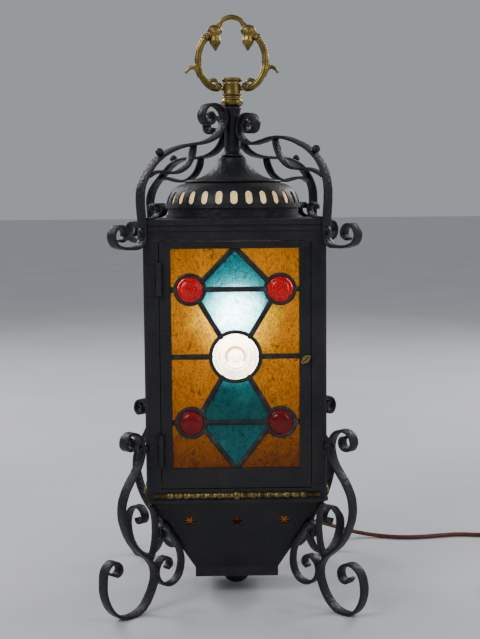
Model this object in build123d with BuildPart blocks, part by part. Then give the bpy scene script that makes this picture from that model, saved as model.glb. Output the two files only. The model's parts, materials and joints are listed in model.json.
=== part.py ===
from build123d import *
import math
import os

# A wrought-iron table lantern: a square body with four leaded-glass panels, the front one a hinged door, under
# a slotted round roof with four strap ribs, on a tapered tray with four scrolled legs. A brass ring carries it,
# and a mains lamp stands inside. Millimetres. The origin is on the vertical axis at floor level, +Z is up, and
# the door faces -Y.

os.makedirs("parts", exist_ok=True)

# Body
BODY_HALF = 91.0
FRAME_LOW = 112.0
POST_LOW = 126.0
POST_TOP = 376.0
FRAME_TOP = 392.0
PLATE_TOP = 397.0
PLATE_HALF = 92.5
PLATE_HOLE_R = 62.0
POST_LEG = 15.0
POST_THICK = 3.0
BEAD_Z = 119.5
BEAD_HALF = 84.0
BEAD_ROD_R = 2.6
BEAD_R = 3.9
BEAD_PITCH = 17.0
BEADS = 9
CORNER_SEAT = 127.3  # distance of the corner flats, where the straps seat, from the axis

# Leaded panels
OPENING_HALF = 64.25
OPENING_LOW = 146.5
OPENING_TOP = 368.4
FRAME_FRONT = 90.0
FRAME_BACK = 82.0
REBATE_FRONT = 88.0
REBATE = 2.7
GLASS_MID = 85.4
GLASS_THICK = 3.0
CAME_WIDE = 5.4
CAME_WEB = 1.4
CAME_LEAF = 0.9
DOOR_GAP = 0.8
JEWEL_X = 45.0
JEWEL_LOW = 193.1
JEWEL_HIGH = 327.3
JEWEL_RING = 14.5
ROUNDEL_Z = 259.8
ROUNDEL_RING = 24.9
RING_WIDE = 4.0
TEAL_REACH = 12.0  # teal pieces have their middles nearer than this to the panel's centre line
JEWEL_DOME = 3.4
JEWEL_TAPER = 40
ROUNDEL_KNOB_R = 10.0
ROUNDEL_KNOB = 2.0

# Straps
STRAP_WIDE = 12.0
STRAP_THICK = 3.0
RIVET_R = 2.0
RIVET_HEAD_R = 3.8
RIVET_HEAD = 2.2
RIVET_Z = 168.6
RIB_RIVET_Z = 385.0

# Roof
DRUM_R = 71.0
DRUM_TOP = 408.0
DOME_TOP = 434.0
CAP_TOP = 461.0
SHEET = 1.6
SLOTS = 28
SLOT_WIDE = 7.0
SLOT_TALL = 13.0
SLOT_Z = 418.6
DOME_NECK_R = 49.0
DOME_SHOULDER = (66.8, 423.2)

# Crown and handle
STEM_R = 8.5
COLLAR_LOW = 514.0
HEAD_LOW = 525.0
HEAD_TOP = 543.6
HEAD_R = 9.7
PIVOT_Z = 533.0
PIVOT_R = 2.5
RUN_GAP = 0.05
RING_BAR = 3.6

# Base
TRAY_HALF_TOP = 88.0
TRAY_HALF_LOW = 43.5
TRAY_LOW = 31.0
TRAY_SHEET = 2.2
LIP_LOW = 21.0
GLAND_STEM_R = 4.9
ROSETTE_Z = 89.0
ROSETTE_X = 48.5

# Lamp
TUBE_R = 5.0
TUBE_LOW = 15.0
TUBE_TOP = 190.0
HOLDER_LOW = 178.0
HOLDER_TOP = 236.0
HOLDER_R = 20.5
BULB_Z = 290.0
BULB_R = 30.0

# Door furniture
HINGE_X = -75.6
HINGE_Y = -94.2
HINGE_R = 3.0
HINGE_PIN_R = 1.5
KNUCKLE = 10.0
HINGE_HEIGHTS = (165.0, 337.0)
LATCH_X = 70.0
LATCH_Z = 257.0
LATCH_R = 1.5
LATCH_TONGUE_THICK = 2.0
HINGE_LEAF = 1.2

# Cord
CORD_R = 2.5
COIL_X = 342.0
COIL_Y = 132.0
COIL_TURN_R = 36.0  # outermost turn, to the cord's middle
COIL_HOLE_R = 15.4
GLAND_X = 25.0
GLAND_Z = 78.0
GLAND_LONG = 26.0
SWITCH_X = 373.0
SWITCH_Y = 42.0
SWITCH_LONG = 58.0
SWITCH_WIDE = 24.0
SWITCH_TALL = 16.0
SWITCH_CORD_Z = 6.0
RELIEF = 8.0
PLUG_Y = -45.2
PLUG_TIP_X = 324.8  # where the cord enters the plug's strain relief
PLUG_Z = 6.9
PLUG_PIN_R = 2.0
PLUG_PIN_LONG = 19.0

SIDES = {"front": 0, "right": 90, "back": 180, "left": 270}
CORNERS = {"front_left": 225, "front_right": 315, "back_right": 45, "back_left": 135}


def side_plane(turn, out):
    """A vertical plane this far out on a side of the body, seen from outside: x to the right, y up."""
    angle = math.radians(turn)
    normal = Vector(math.sin(angle), -math.cos(angle), 0)
    return Plane(origin=normal * out, x_dir=(math.cos(angle), math.sin(angle), 0), z_dir=normal)


def corner_plane(turn):
    """The upright plane through the axis and a corner: x is the distance from the axis, y is the height."""
    angle = math.radians(turn)
    return Plane(
        origin=(0, 0, 0),
        x_dir=(math.cos(angle), math.sin(angle), 0),
        z_dir=(math.sin(angle), -math.cos(angle), 0),
    )


def arc_step(start, end, heading):
    """One arc that leaves start along heading, or a line where the two points lie on it."""
    chord = (end - start).normalized()
    if abs(heading.cross(chord).Z) < 0.002:
        Line((start.X, start.Y), (end.X, end.Y))
    else:
        TangentArc((start.X, start.Y), (end.X, end.Y), tangent=(heading.X, heading.Y))


def forged_line(points, first=None, last=None):
    """A smooth bent strap's centre line: pairs of tangent arcs through the points."""
    spots = [Vector(x, z, 0) for x, z in points]
    headings = []
    for before, here, after in zip(spots, spots[1:], spots[2:]):
        back = here - before
        ahead = after - here
        headings.append((back / back.dot(back) + ahead / ahead.dot(ahead)).normalized())
    opening = (spots[1] - spots[0]).normalized()
    closing = (spots[-1] - spots[-2]).normalized()
    start = opening * (2 * opening.dot(headings[0])) - headings[0]
    end = closing * (2 * closing.dot(headings[-1])) - headings[-1]
    if first:
        start = Vector(*first, 0).normalized()
    if last:
        end = Vector(*last, 0).normalized()
    headings = [start] + headings + [end]
    for here, after, leave, arrive in zip(spots, spots[1:], headings, headings[1:]):
        gap = after - here
        along = gap.dot(leave + arrive)
        spread = 1 - leave.dot(arrive)
        reach = gap.dot(gap) / (2 * along)
        if spread > 1e-6:
            reach = (math.sqrt(along**2 + 2 * spread * gap.dot(gap)) - along) / (2 * spread)
        near = here + leave * reach
        far = after - arrive * reach
        middle = (near + far) / 2
        arc_step(here, middle, leave)
        arc_step(middle, after, (far - near).normalized())


def bent_strap(points, plane, wide, thick, first=None, last=None):
    """Adds a flat strap to the part, bent along a smooth line in this upright plane."""
    with BuildLine(plane, mode=Mode.PRIVATE) as route:
        forged_line(points, first, last)
    with BuildSketch(Plane(origin=route.line @ 0, x_dir=plane.z_dir, z_dir=route.line % 0)) as section:
        Rectangle(wide, thick)
    sweep(section.sketch, path=route.line)


def chamfer_for(half):
    """The corner chamfer that brings a square of this half width in to the corner seats."""
    return 2 * half - CORNER_SEAT * math.sqrt(2)


def came_line(start, end, wide):
    """A straight strip of came and its mirror image across the panel's middle, in the active sketch."""
    first = Vector(*start)
    last = Vector(*end)
    middle = (first + last) / 2
    run = last - first
    for side in (1, -1):
        with Locations(Location((middle.X * side, middle.Y), math.degrees(math.atan2(run.Y, run.X * side)))):
            Rectangle(run.length, wide)


def came_pattern(wide, ring_wide):
    """The leading of one panel: straight cames, four jewel rings and the roundel's ring."""
    came_line((0, OPENING_TOP + 1.4), (32.9, 335.4), wide)
    came_line((0, JEWEL_HIGH), (JEWEL_X - JEWEL_RING, JEWEL_HIGH), wide)
    came_line((36.5, 316.2), (14.6, 279.8), wide)
    came_line((13.4, 239.0), (34.6, 203.2), wide)
    came_line((0, JEWEL_LOW), (JEWEL_X - JEWEL_RING, JEWEL_LOW), wide)
    came_line((31.8, 186.0), (0, OPENING_LOW - 1.4), wide)
    came_line((ROUNDEL_RING, ROUNDEL_Z), (OPENING_HALF + 2.0, ROUNDEL_Z), wide)
    for height in (JEWEL_LOW, JEWEL_HIGH):
        came_line((JEWEL_X + JEWEL_RING, height), (OPENING_HALF + 2.0, height), wide)
    for x, z, radius in [(*spot, JEWEL_RING) for spot in JEWEL_SPOTS] + [(0, ROUNDEL_Z, ROUNDEL_RING)]:
        with Locations((x, z)):
            Circle(radius + ring_wide / 2)
            Circle(radius - ring_wide / 2, mode=Mode.SUBTRACT)


PANEL_MID = (OPENING_LOW + OPENING_TOP) / 2
PANEL_TALL = OPENING_TOP - OPENING_LOW
JEWEL_SPOTS = [(x, z) for x in (-JEWEL_X, JEWEL_X) for z in (JEWEL_LOW, JEWEL_HIGH)]


def panel_rectangle(margin, mode=Mode.ADD):
    """The panel's opening, grown by a margin all round."""
    with Locations((0, PANEL_MID)):
        Rectangle(2 * (OPENING_HALF + margin), PANEL_TALL + 2 * margin, mode=mode)


def came_layer(wide, ring_wide, edge_in):
    """The leading with the panel's edge came, whose inner edge is edge_in outside the opening."""
    came_pattern(wide, ring_wide)
    panel_rectangle(REBATE - 0.1)
    panel_rectangle(edge_in, mode=Mode.SUBTRACT)
    came_pattern(wide, ring_wide)


def came_solid(turn):
    """One panel's leading: two leaves that lap over the glass, joined by the web between its pieces."""
    with BuildSketch(side_plane(turn, GLASS_MID - GLASS_THICK / 2 - CAME_LEAF - 0.05)) as back_leaf:
        came_layer(CAME_WIDE, RING_WIDE, 0)
    extrude(back_leaf.sketch, amount=CAME_LEAF)
    with BuildSketch(side_plane(turn, GLASS_MID + GLASS_THICK / 2 + 0.05)) as front_leaf:
        came_layer(CAME_WIDE, RING_WIDE, 0)
    extrude(front_leaf.sketch, amount=CAME_LEAF)
    with BuildSketch(side_plane(turn, GLASS_MID - GLASS_THICK / 2 - 0.05)) as web:
        came_layer(CAME_WEB, CAME_WEB, REBATE - 0.1 - CAME_WEB)
    extrude(web.sketch, amount=GLASS_THICK + 0.1)


def flat_glass(turn, teal):
    """The flat glass of one panel, of one colour: teal down the middle, amber at the sides."""
    plane = side_plane(turn, GLASS_MID - GLASS_THICK / 2)
    with BuildSketch(plane, mode=Mode.PRIVATE) as pieces:
        panel_rectangle(REBATE - 0.2 - CAME_WEB)
        with Locations((0, ROUNDEL_Z)):
            Circle(ROUNDEL_RING, mode=Mode.SUBTRACT)
        with Locations(*JEWEL_SPOTS):
            Circle(JEWEL_RING, mode=Mode.SUBTRACT)
        with BuildSketch(mode=Mode.SUBTRACT):
            came_pattern(CAME_WEB + 0.2, CAME_WEB + 0.2)
    for face in pieces.sketch.faces():
        across = abs((face.center() - plane.origin).dot(plane.x_dir))
        if (across < TEAL_REACH) == teal:
            add(extrude(face, amount=GLASS_THICK, dir=plane.z_dir, mode=Mode.PRIVATE))


def jewels(turn):
    """The four domed ruby jewels of one panel, each with a turned-down edge that sits in its ring."""
    with BuildSketch(side_plane(turn, GLASS_MID - GLASS_THICK / 2)) as girdle:
        with Locations(*JEWEL_SPOTS):
            Circle(JEWEL_RING - CAME_WEB / 2 - 0.1)
    extrude(girdle.sketch, amount=GLASS_THICK)
    with BuildSketch(side_plane(turn, GLASS_MID + GLASS_THICK / 2)) as dome:
        with Locations(*JEWEL_SPOTS):
            Circle(JEWEL_RING - RING_WIDE / 2 - 0.1)
    extrude(dome.sketch, amount=JEWEL_DOME, taper=JEWEL_TAPER)


def roundel(turn):
    """The clear round centre of one panel, with the low knob that a spun roundel has."""
    with BuildSketch(side_plane(turn, GLASS_MID - GLASS_THICK / 2)) as disc:
        with Locations((0, ROUNDEL_Z)):
            Circle(ROUNDEL_RING - CAME_WEB / 2 - 0.1)
    extrude(disc.sketch, amount=GLASS_THICK)
    with BuildSketch(side_plane(turn, GLASS_MID + GLASS_THICK / 2)) as knob:
        with Locations((0, ROUNDEL_Z)):
            Circle(ROUNDEL_KNOB_R)
    extrude(knob.sketch, amount=ROUNDEL_KNOB, taper=JEWEL_TAPER)


def panel_frame(turn, half, low, top):
    """A flat iron frame around one panel, with a rebate behind its front lip for the leading."""
    with BuildSketch(side_plane(turn, FRAME_BACK)) as rebated:
        with Locations((0, (low + top) / 2)):
            Rectangle(2 * half, top - low)
        panel_rectangle(REBATE, mode=Mode.SUBTRACT)
    extrude(rebated.sketch, amount=REBATE_FRONT - FRAME_BACK)
    with BuildSketch(side_plane(turn, REBATE_FRONT)) as lip:
        with Locations((0, (low + top) / 2)):
            Rectangle(2 * half, top - low)
        panel_rectangle(0, mode=Mode.SUBTRACT)
    extrude(lip.sketch, amount=FRAME_FRONT - REBATE_FRONT)


# ---------------------------------------------------------------- body


def square_ring(half, low, top, inner):
    """A square ring whose outer corners are cut back to the corner seats."""
    cut = chamfer_for(half)
    with BuildSketch(Plane.XY.offset(low)) as outline:
        Rectangle(2 * half, 2 * half)
        if cut > 0:
            chamfer(outline.vertices(), cut)
        Rectangle(2 * inner, 2 * inner, mode=Mode.SUBTRACT)
    extrude(outline.sketch, amount=top - low)


with BuildPart() as corner_posts:
    with BuildSketch(Plane.XY.offset(POST_LOW)):
        with PolarLocations(0, 4):
            with Locations((BODY_HALF - POST_LEG / 2, BODY_HALF - POST_THICK / 2)):
                Rectangle(POST_LEG, POST_THICK)
            with Locations((BODY_HALF - POST_THICK / 2, BODY_HALF - POST_LEG / 2)):
                Rectangle(POST_THICK, POST_LEG)
    extrude(amount=POST_TOP - POST_LOW)
    outer_corners = corner_posts.edges().filter_by(Axis.Z).filter_by(
        lambda edge: Vector(edge.center().X, edge.center().Y).length > BODY_HALF * math.sqrt(2) - 0.5
    )
    chamfer(outer_corners, chamfer_for(BODY_HALF))
corner_posts.part.label = "corner_posts"
export_step(corner_posts.part, "parts/corner_posts.step")

with BuildPart() as top_frame:
    square_ring(BODY_HALF, POST_TOP, FRAME_TOP - 6, BODY_HALF - POST_LEG)
    square_ring(PLATE_HALF, FRAME_TOP - 6, FRAME_TOP - 3, BODY_HALF - POST_LEG)
    square_ring(BODY_HALF, FRAME_TOP - 3, FRAME_TOP, BODY_HALF - POST_LEG)
top_frame.part.label = "top_frame"
export_step(top_frame.part, "parts/top_frame.step")

with BuildPart() as bottom_frame:
    square_ring(BODY_HALF, FRAME_LOW + 3, POST_LOW, BODY_HALF - POST_LEG)
    square_ring(PLATE_HALF, FRAME_LOW, FRAME_LOW + 3, BODY_HALF - POST_LEG)
bottom_frame.part.label = "bottom_frame"
export_step(bottom_frame.part, "parts/bottom_frame.step")

with BuildPart() as top_plate:
    with BuildSketch(Plane.XY.offset(FRAME_TOP)) as plate_outline:
        Rectangle(2 * PLATE_HALF, 2 * PLATE_HALF)
        chamfer(plate_outline.vertices(), chamfer_for(PLATE_HALF))
        Circle(PLATE_HOLE_R, mode=Mode.SUBTRACT)
    extrude(amount=PLATE_TOP - FRAME_TOP)
top_plate.part.label = "top_plate"
export_step(top_plate.part, "parts/top_plate.step")

with BuildPart() as bead_bands:
    for turn in SIDES.values():
        face = side_plane(turn, BODY_HALF)
        rod_end = face.origin + Vector(0, 0, BEAD_Z) - face.x_dir * BEAD_HALF
        axis_plane = Plane(origin=rod_end, z_dir=face.x_dir)
        with BuildSketch(axis_plane):
            Circle(BEAD_ROD_R)
        extrude(amount=2 * BEAD_HALF)
        with Locations(Plane(origin=face.origin + Vector(0, 0, BEAD_Z), x_dir=face.x_dir, z_dir=face.z_dir)):
            with GridLocations(BEAD_PITCH, 0, BEADS, 1):
                Sphere(BEAD_R)
            Sphere(BEAD_R + 1)
    with Locations((0, 0, BEAD_Z)):
        Box(2 * BODY_HALF, 2 * BODY_HALF, 4 * BEAD_R, mode=Mode.SUBTRACT)
bead_bands.part.label = "bead_bands"
export_step(bead_bands.part, "parts/bead_bands.step")

# ---------------------------------------------------------------- leaded panels

FRAME_NAMES = {"left_frame": 270, "back_frame": 180, "right_frame": 90}

for name, turn in FRAME_NAMES.items():
    with BuildPart() as frame:
        panel_frame(turn, BODY_HALF - POST_LEG, POST_LOW, POST_TOP)
    frame.part.label = name
    export_step(frame.part, f"parts/{name}.step")

with BuildPart() as door_frame:
    panel_frame(0, BODY_HALF - POST_LEG - DOOR_GAP, POST_LOW + DOOR_GAP, POST_TOP - DOOR_GAP)
    with BuildSketch(side_plane(0, FRAME_BACK)):
        with Locations((LATCH_X, LATCH_Z)):
            Circle(LATCH_R + RUN_GAP)
    extrude(amount=FRAME_FRONT - FRAME_BACK, mode=Mode.SUBTRACT)
door_frame.part.label = "door_frame"
export_step(door_frame.part, "parts/door_frame.step")

PANELS = {"door": [0], "fixed": [90, 180, 270]}

for panel, turns in PANELS.items():
    with BuildPart() as cames:
        for turn in turns:
            came_solid(turn)
    cames.part.label = f"{panel}_cames"
    export_step(cames.part, f"parts/{panel}_cames.step")

    with BuildPart() as amber:
        for turn in turns:
            flat_glass(turn, teal=False)
    amber.part.label = f"{panel}_glass_amber"
    export_step(amber.part, f"parts/{panel}_glass_amber.step")

    with BuildPart() as teal:
        for turn in turns:
            flat_glass(turn, teal=True)
    teal.part.label = f"{panel}_glass_teal"
    export_step(teal.part, f"parts/{panel}_glass_teal.step")

    with BuildPart() as ruby:
        for turn in turns:
            jewels(turn)
    ruby.part.label = f"{panel}_jewels"
    export_step(ruby.part, f"parts/{panel}_jewels.step")

    with BuildPart() as clear:
        for turn in turns:
            roundel(turn)
    clear.part.label = f"{panel}_roundel"
    export_step(clear.part, f"parts/{panel}_roundel.step")

# ---------------------------------------------------------------- door furniture


def hinge_leaf(height, x_from, x_to, back):
    """A hinge's flat leaf, three knuckles tall, on a vertical face at this y."""
    with Locations(((x_from + x_to) / 2, back - HINGE_LEAF / 2, height)):
        Box(abs(x_to - x_from), HINGE_LEAF, 3 * KNUCKLE)


def hinge_knuckle(height, x_reach, back):
    """One knuckle around the pin, and the tab that joins it to its leaf."""
    tall = KNUCKLE - 0.4
    with Locations((HINGE_X, HINGE_Y, height)):
        Cylinder(HINGE_R, tall)
    with Locations(((HINGE_X + x_reach) / 2, back - HINGE_LEAF / 2, height)):
        Box(abs(x_reach - HINGE_X), HINGE_LEAF, tall)
    with Locations((HINGE_X, HINGE_Y, height)):
        Cylinder(HINGE_PIN_R + RUN_GAP, tall, mode=Mode.SUBTRACT)


with BuildPart() as post_hinges:
    for height in HINGE_HEIGHTS:
        hinge_leaf(height, -88.0, -79.4, -BODY_HALF)
        hinge_knuckle(height + KNUCKLE, -79.4, -BODY_HALF)
        hinge_knuckle(height - KNUCKLE, -79.4, -BODY_HALF)
post_hinges.part.label = "post_hinges"
export_step(post_hinges.part, "parts/post_hinges.step")

with BuildPart() as door_hinges:
    for height in HINGE_HEIGHTS:
        hinge_leaf(height, -71.8, -65.2, -FRAME_FRONT)
        hinge_knuckle(height, -71.8, -FRAME_FRONT)
door_hinges.part.label = "door_hinges"
export_step(door_hinges.part, "parts/door_hinges.step")

with BuildPart() as hinge_pins:
    for height in HINGE_HEIGHTS:
        with Locations((HINGE_X, HINGE_Y, height)):
            Cylinder(HINGE_PIN_R, 3 * KNUCKLE)
        with Locations((HINGE_X, HINGE_Y, height + 1.5 * KNUCKLE + 1.2)):
            Cylinder(HINGE_R - 0.2, 2.4)
hinge_pins.part.label = "hinge_pins"
export_step(hinge_pins.part, "parts/hinge_pins.step")

with BuildPart() as latch_knob:
    with BuildSketch(side_plane(0, FRAME_BACK - LATCH_TONGUE_THICK - 0.3)):
        with Locations((LATCH_X, LATCH_Z)):
            Circle(LATCH_R)
    extrude(amount=FRAME_FRONT - FRAME_BACK + LATCH_TONGUE_THICK + 3.0)
    with BuildSketch(side_plane(0, FRAME_FRONT + 0.2)):
        with Locations((LATCH_X, LATCH_Z)):
            Circle(3.6)
    extrude(amount=2.2)
    with BuildSketch(side_plane(0, FRAME_FRONT + 2.4)):
        with Locations(Location((LATCH_X, LATCH_Z), 40)):
            SlotOverall(11, 3.6)
    extrude(amount=2.6)
latch_knob.part.label = "latch_knob"
export_step(latch_knob.part, "parts/latch_knob.step")

with BuildPart() as latch_tongue:
    with BuildSketch(side_plane(0, FRAME_BACK - LATCH_TONGUE_THICK - 0.3)):
        with Locations(Location((LATCH_X, LATCH_Z + 4.5), 90)):
            SlotOverall(17, 6)
        with Locations((LATCH_X, LATCH_Z)):
            Circle(LATCH_R, mode=Mode.SUBTRACT)
    extrude(amount=LATCH_TONGUE_THICK)
latch_tongue.part.label = "latch_tongue"
export_step(latch_tongue.part, "parts/latch_tongue.step")

with BuildPart() as latch_keeper:
    with Locations((82.5, -(FRAME_BACK + BODY_HALF - POST_THICK) / 2 - 0.1, LATCH_Z)):
        Box(11, BODY_HALF - POST_THICK - FRAME_BACK - 0.2, 14)
latch_keeper.part.label = "latch_keeper"
export_step(latch_keeper.part, "parts/latch_keeper.step")

# ---------------------------------------------------------------- roof

with BuildPart() as drum_ring:
    with BuildSketch(Plane.XY.offset(PLATE_TOP)):
        Circle(DRUM_R)
        Circle(PLATE_HOLE_R, mode=Mode.SUBTRACT)
    extrude(amount=4)
    with BuildSketch(Plane.XY.offset(PLATE_TOP + 4)):
        Circle(DRUM_R - 2)
        Circle(PLATE_HOLE_R, mode=Mode.SUBTRACT)
    extrude(amount=DRUM_TOP - PLATE_TOP - 4)
drum_ring.part.label = "drum_ring"
export_step(drum_ring.part, "parts/drum_ring.step")

with BuildPart() as slotted_dome:
    with BuildSketch(Plane.XZ):
        with BuildLine():
            outer = Spline(
                (DRUM_R, DRUM_TOP),
                DOME_SHOULDER,
                (DOME_NECK_R, DOME_TOP),
                tangents=[(0, 1), (-1, 0.1)],
            )
            inner = Spline(
                (DRUM_R - SHEET, DRUM_TOP),
                (DOME_SHOULDER[0] - SHEET * 0.9, DOME_SHOULDER[1] - SHEET * 0.4),
                (DOME_NECK_R, DOME_TOP - SHEET),
                tangents=[(0, 1), (-1, 0.1)],
            )
            Line(outer @ 0, inner @ 0)
            Line(outer @ 1, inner @ 1)
        make_face()
    revolve(axis=Axis.Z)
    for k in range(SLOTS // 2):
        angle = math.radians(k * 360 / SLOTS)
        radial = Vector(math.cos(angle), math.sin(angle), 0)
        with BuildSketch(Plane(origin=(0, 0, SLOT_Z), x_dir=(0, 0, 1), z_dir=radial)):
            SlotOverall(SLOT_TALL, SLOT_WIDE)
        extrude(amount=DRUM_R + 5, both=True, mode=Mode.SUBTRACT)
slotted_dome.part.label = "slotted_dome"
export_step(slotted_dome.part, "parts/slotted_dome.step")

with BuildPart() as roof_cap:
    with BuildSketch(Plane.XZ):
        with BuildLine():
            rim = Polyline(
                (DOME_NECK_R - 4, DOME_TOP),
                (DOME_NECK_R + 2, DOME_TOP),
                (DOME_NECK_R + 2, DOME_TOP + 2.5),
                (38, DOME_TOP + 4.5),
            )
            sweep_in = Spline(rim @ 1, (24, 447), (15, CAP_TOP - 3), tangents=[(-1, 0.12), (-0.35, 1)])
            crown_top = Polyline(
                sweep_in @ 1,
                (15, CAP_TOP),
                (0, CAP_TOP),
                (0, CAP_TOP - 4),
                (12, CAP_TOP - 4),
            )
            under = Spline(
                crown_top @ 1,
                (22, 445.4),
                (36, DOME_TOP + 2.9),
                tangents=[(0.35, -1), (1, -0.12)],
            )
            Line(under @ 1, rim @ 0)
        make_face()
    revolve(axis=Axis.Z)
roof_cap.part.label = "roof_cap"
export_step(roof_cap.part, "parts/roof_cap.step")

# ---------------------------------------------------------------- stem, head and ring

with BuildPart() as stem:
    with BuildSketch(Plane.XZ):
        with BuildLine():
            Polyline(
                (0, CAP_TOP),
                (12, CAP_TOP),
                (12, CAP_TOP + 3),
                (STEM_R, CAP_TOP + 6),
                (STEM_R, COLLAR_LOW),
                (0, COLLAR_LOW),
                close=True,
            )
        make_face()
    revolve(axis=Axis.Z)
stem.part.label = "stem"
export_step(stem.part, "parts/stem.step")

with BuildPart() as neck_collar:
    with BuildSketch(Plane.XZ):
        with BuildLine():
            low = Line((0, COLLAR_LOW), (8.6, COLLAR_LOW))
            roll = ThreePointArc(low @ 1, (11.9, (COLLAR_LOW + HEAD_LOW) / 2), (8.6, HEAD_LOW))
            Polyline(roll @ 1, (0, HEAD_LOW), low @ 0)
        make_face()
    revolve(axis=Axis.Z)
neck_collar.part.label = "neck_collar"
export_step(neck_collar.part, "parts/neck_collar.step")

with BuildPart() as handle_head:
    with BuildSketch(Plane.XZ):
        with BuildLine():
            Polyline(
                (0, HEAD_LOW),
                (HEAD_R, HEAD_LOW),
                (HEAD_R, HEAD_TOP - 5),
                (HEAD_R + 1.2, HEAD_TOP - 3),
                (HEAD_R + 1.2, HEAD_TOP - 1),
                (HEAD_R - 1, HEAD_TOP),
                (0, HEAD_TOP),
                close=True,
            )
        make_face()
    revolve(axis=Axis.Z)
    with BuildSketch(Plane.YZ.offset(-HEAD_R - 2)):
        with Locations((0, PIVOT_Z)):
            Circle(PIVOT_R + RUN_GAP)
    extrude(amount=2 * HEAD_R + 4, mode=Mode.SUBTRACT)
handle_head.part.label = "handle_head"
export_step(handle_head.part, "parts/handle_head.step")

RING_SIDE = [
    (13.5, PIVOT_Z),
    (20.5, 533.8),
    (28.0, 540.2),
    (33.4, 550.0),
    (35.3, 561.5),
    (33.8, 573.2),
    (28.0, 583.8),
    (20.5, 590.4),
    (14.2, 596.3),
    (9.6, 603.0),
    (0.0, 606.4),
]
KNUCKLES = [(14.2, 535.0, 4.2), (17.5, 592.5, 6.4), (17.3, 586.0, 5.0), (17.2, 579.6, 5.6)]
BUD = (17.1, 577.4)  # where the drooping bud under a knuckle starts
THORN = (35.5, 554.4)

with BuildPart() as handle_ring:
    for side in (1, -1):
        with BuildLine(Plane.XZ) as bar:
            forged_line([(side * x, z) for x, z in RING_SIDE], first=(side, 0), last=(-side, 0))
        with BuildSketch(Plane(origin=bar.line @ 0, z_dir=bar.line % 0)):
            Circle(RING_BAR)
        sweep()
        for x, z, radius in KNUCKLES:
            with Locations((side * x, 0, z)):
                Sphere(radius)
        with Locations(Plane(origin=(side * BUD[0], 0, BUD[1]), z_dir=(side * -0.06, 0, -1))):
            Cone(4.9, 1.4, 6.2, align=(Align.CENTER, Align.CENTER, Align.MIN))
        with Locations(Plane(origin=(side * THORN[0], 0, THORN[1]), z_dir=(side, 0, -0.36))):
            Cone(3.2, 1.6, 12.5, align=(Align.CENTER, Align.CENTER, Align.MIN))
        with Locations(Plane(origin=(side * 3.5, 0, PIVOT_Z), z_dir=(side, 0, 0))):
            Cylinder(PIVOT_R, 10.5, align=(Align.CENTER, Align.CENTER, Align.MIN))
handle_ring.part.label = "handle_ring"
export_step(handle_ring.part, "parts/handle_ring.step")

# ---------------------------------------------------------------- strap ribs of the crown

# Each rib's centre line: a curl outside the corner of the top frame, up the corner, out and over the roof, and
# up the stem to a second curl. They are bent by hand, so no two are quite alike.
RIB_FOOT = [
    (157.0, 377.0),
    (152.3, 379.8),
    (151.6, 385.4),
    (156.6, 391.0),
    (164.0, 389.8),
    (168.3, 382.0),
    (164.8, 373.4),
    (156.0, 370.0),
    (145.0, 369.4),
    (134.8, 370.6),
    (129.6, 376.6),
    (CORNER_SEAT + STRAP_THICK / 2 + 0.05, 386.0),
    (129.2, 396.0),
    (130.0, 405.0),
    (130.8, 416.0),
]
RIB_TOPS = {
    "front_left": [
        (129.6, 428.0),
        (123.4, 440.0),
        (114.0, 451.2),
        (102.6, 459.6),
        (88.0, 466.4),
        (72.0, 470.9),
        (56.0, 473.3),
        (40.0, 476.0),
        (26.0, 481.6),
        (15.6, 491.4),
        (12.3, 501.4),
        (17.6, 510.4),
        (28.6, 514.6),
        (40.0, 511.6),
        (45.0, 503.2),
        (40.6, 495.6),
        (32.6, 496.0),
        (30.0, 502.0),
        (33.6, 506.4),
    ],
    "front_right": [
        (130.6, 428.0),
        (127.4, 441.4),
        (121.0, 453.0),
        (112.2, 462.0),
        (100.4, 469.4),
        (86.4, 475.2),
        (71.0, 479.0),
        (56.0, 478.8),
        (43.0, 476.0),
        (29.0, 474.2),
        (17.6, 477.6),
        (11.4, 486.4),
        (12.2, 496.8),
        (19.2, 504.0),
        (28.4, 504.0),
        (34.6, 496.4),
        (31.4, 488.0),
        (23.0, 486.6),
        (18.6, 492.4),
        (21.6, 498.0),
    ],
    "back_right": [
        (129.8, 427.0),
        (124.8, 438.0),
        (116.6, 447.2),
        (107.0, 454.0),
        (95.0, 458.8),
        (80.0, 461.6),
        (60.0, 461.8),
        (42.0, 462.8),
        (27.0, 466.6),
        (16.0, 475.2),
        (11.4, 487.0),
        (12.6, 498.6),
        (19.6, 506.0),
        (28.0, 505.4),
        (32.6, 498.0),
        (29.6, 490.6),
        (22.8, 489.4),
        (19.0, 494.6),
    ],
    "back_left": [
        (127.6, 426.0),
        (120.6, 434.6),
        (110.4, 443.0),
        (100.0, 451.2),
        (89.0, 457.6),
        (75.0, 461.2),
        (58.0, 461.8),
        (42.0, 462.8),
        (27.6, 466.8),
        (16.4, 475.6),
        (11.4, 486.0),
        (13.4, 496.6),
        (21.0, 503.6),
        (30.0, 504.0),
        (37.6, 498.4),
        (37.0, 490.6),
        (30.6, 487.6),
        (25.6, 492.0),
    ],
}
BRANCHES = {
    "front_left": [
        (121.0, 439.4),
        (112.4, 443.4),
        (101.4, 444.8),
        (89.6, 443.6),
        (77.6, 445.4),
        (67.4, 451.0),
        (60.4, 460.4),
        (57.0, 471.8),
    ],
    "front_right": [
        (125.8, 438.8),
        (117.0, 443.2),
        (105.4, 446.4),
        (93.9, 446.8),
        (83.7, 448.2),
        (75.0, 452.6),
        (68.4, 459.6),
        (63.8, 468.2),
        (61.0, 477.2),
    ],
    "back_right": [
        (121.8, 436.8),
        (114.0, 440.0),
        (104.0, 440.4),
        (93.0, 438.8),
        (81.0, 436.9),
        (70.0, 439.2),
        (61.4, 444.8),
        (55.6, 452.4),
        (52.6, 460.4),
    ],
    "back_left": [
        (110.6, 439.8),
        (103.0, 441.0),
        (94.0, 439.4),
        (84.0, 437.6),
        (73.0, 437.4),
        (62.4, 440.6),
        (54.8, 446.4),
        (50.0, 453.6),
        (47.8, 460.8),
    ],
}

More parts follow.
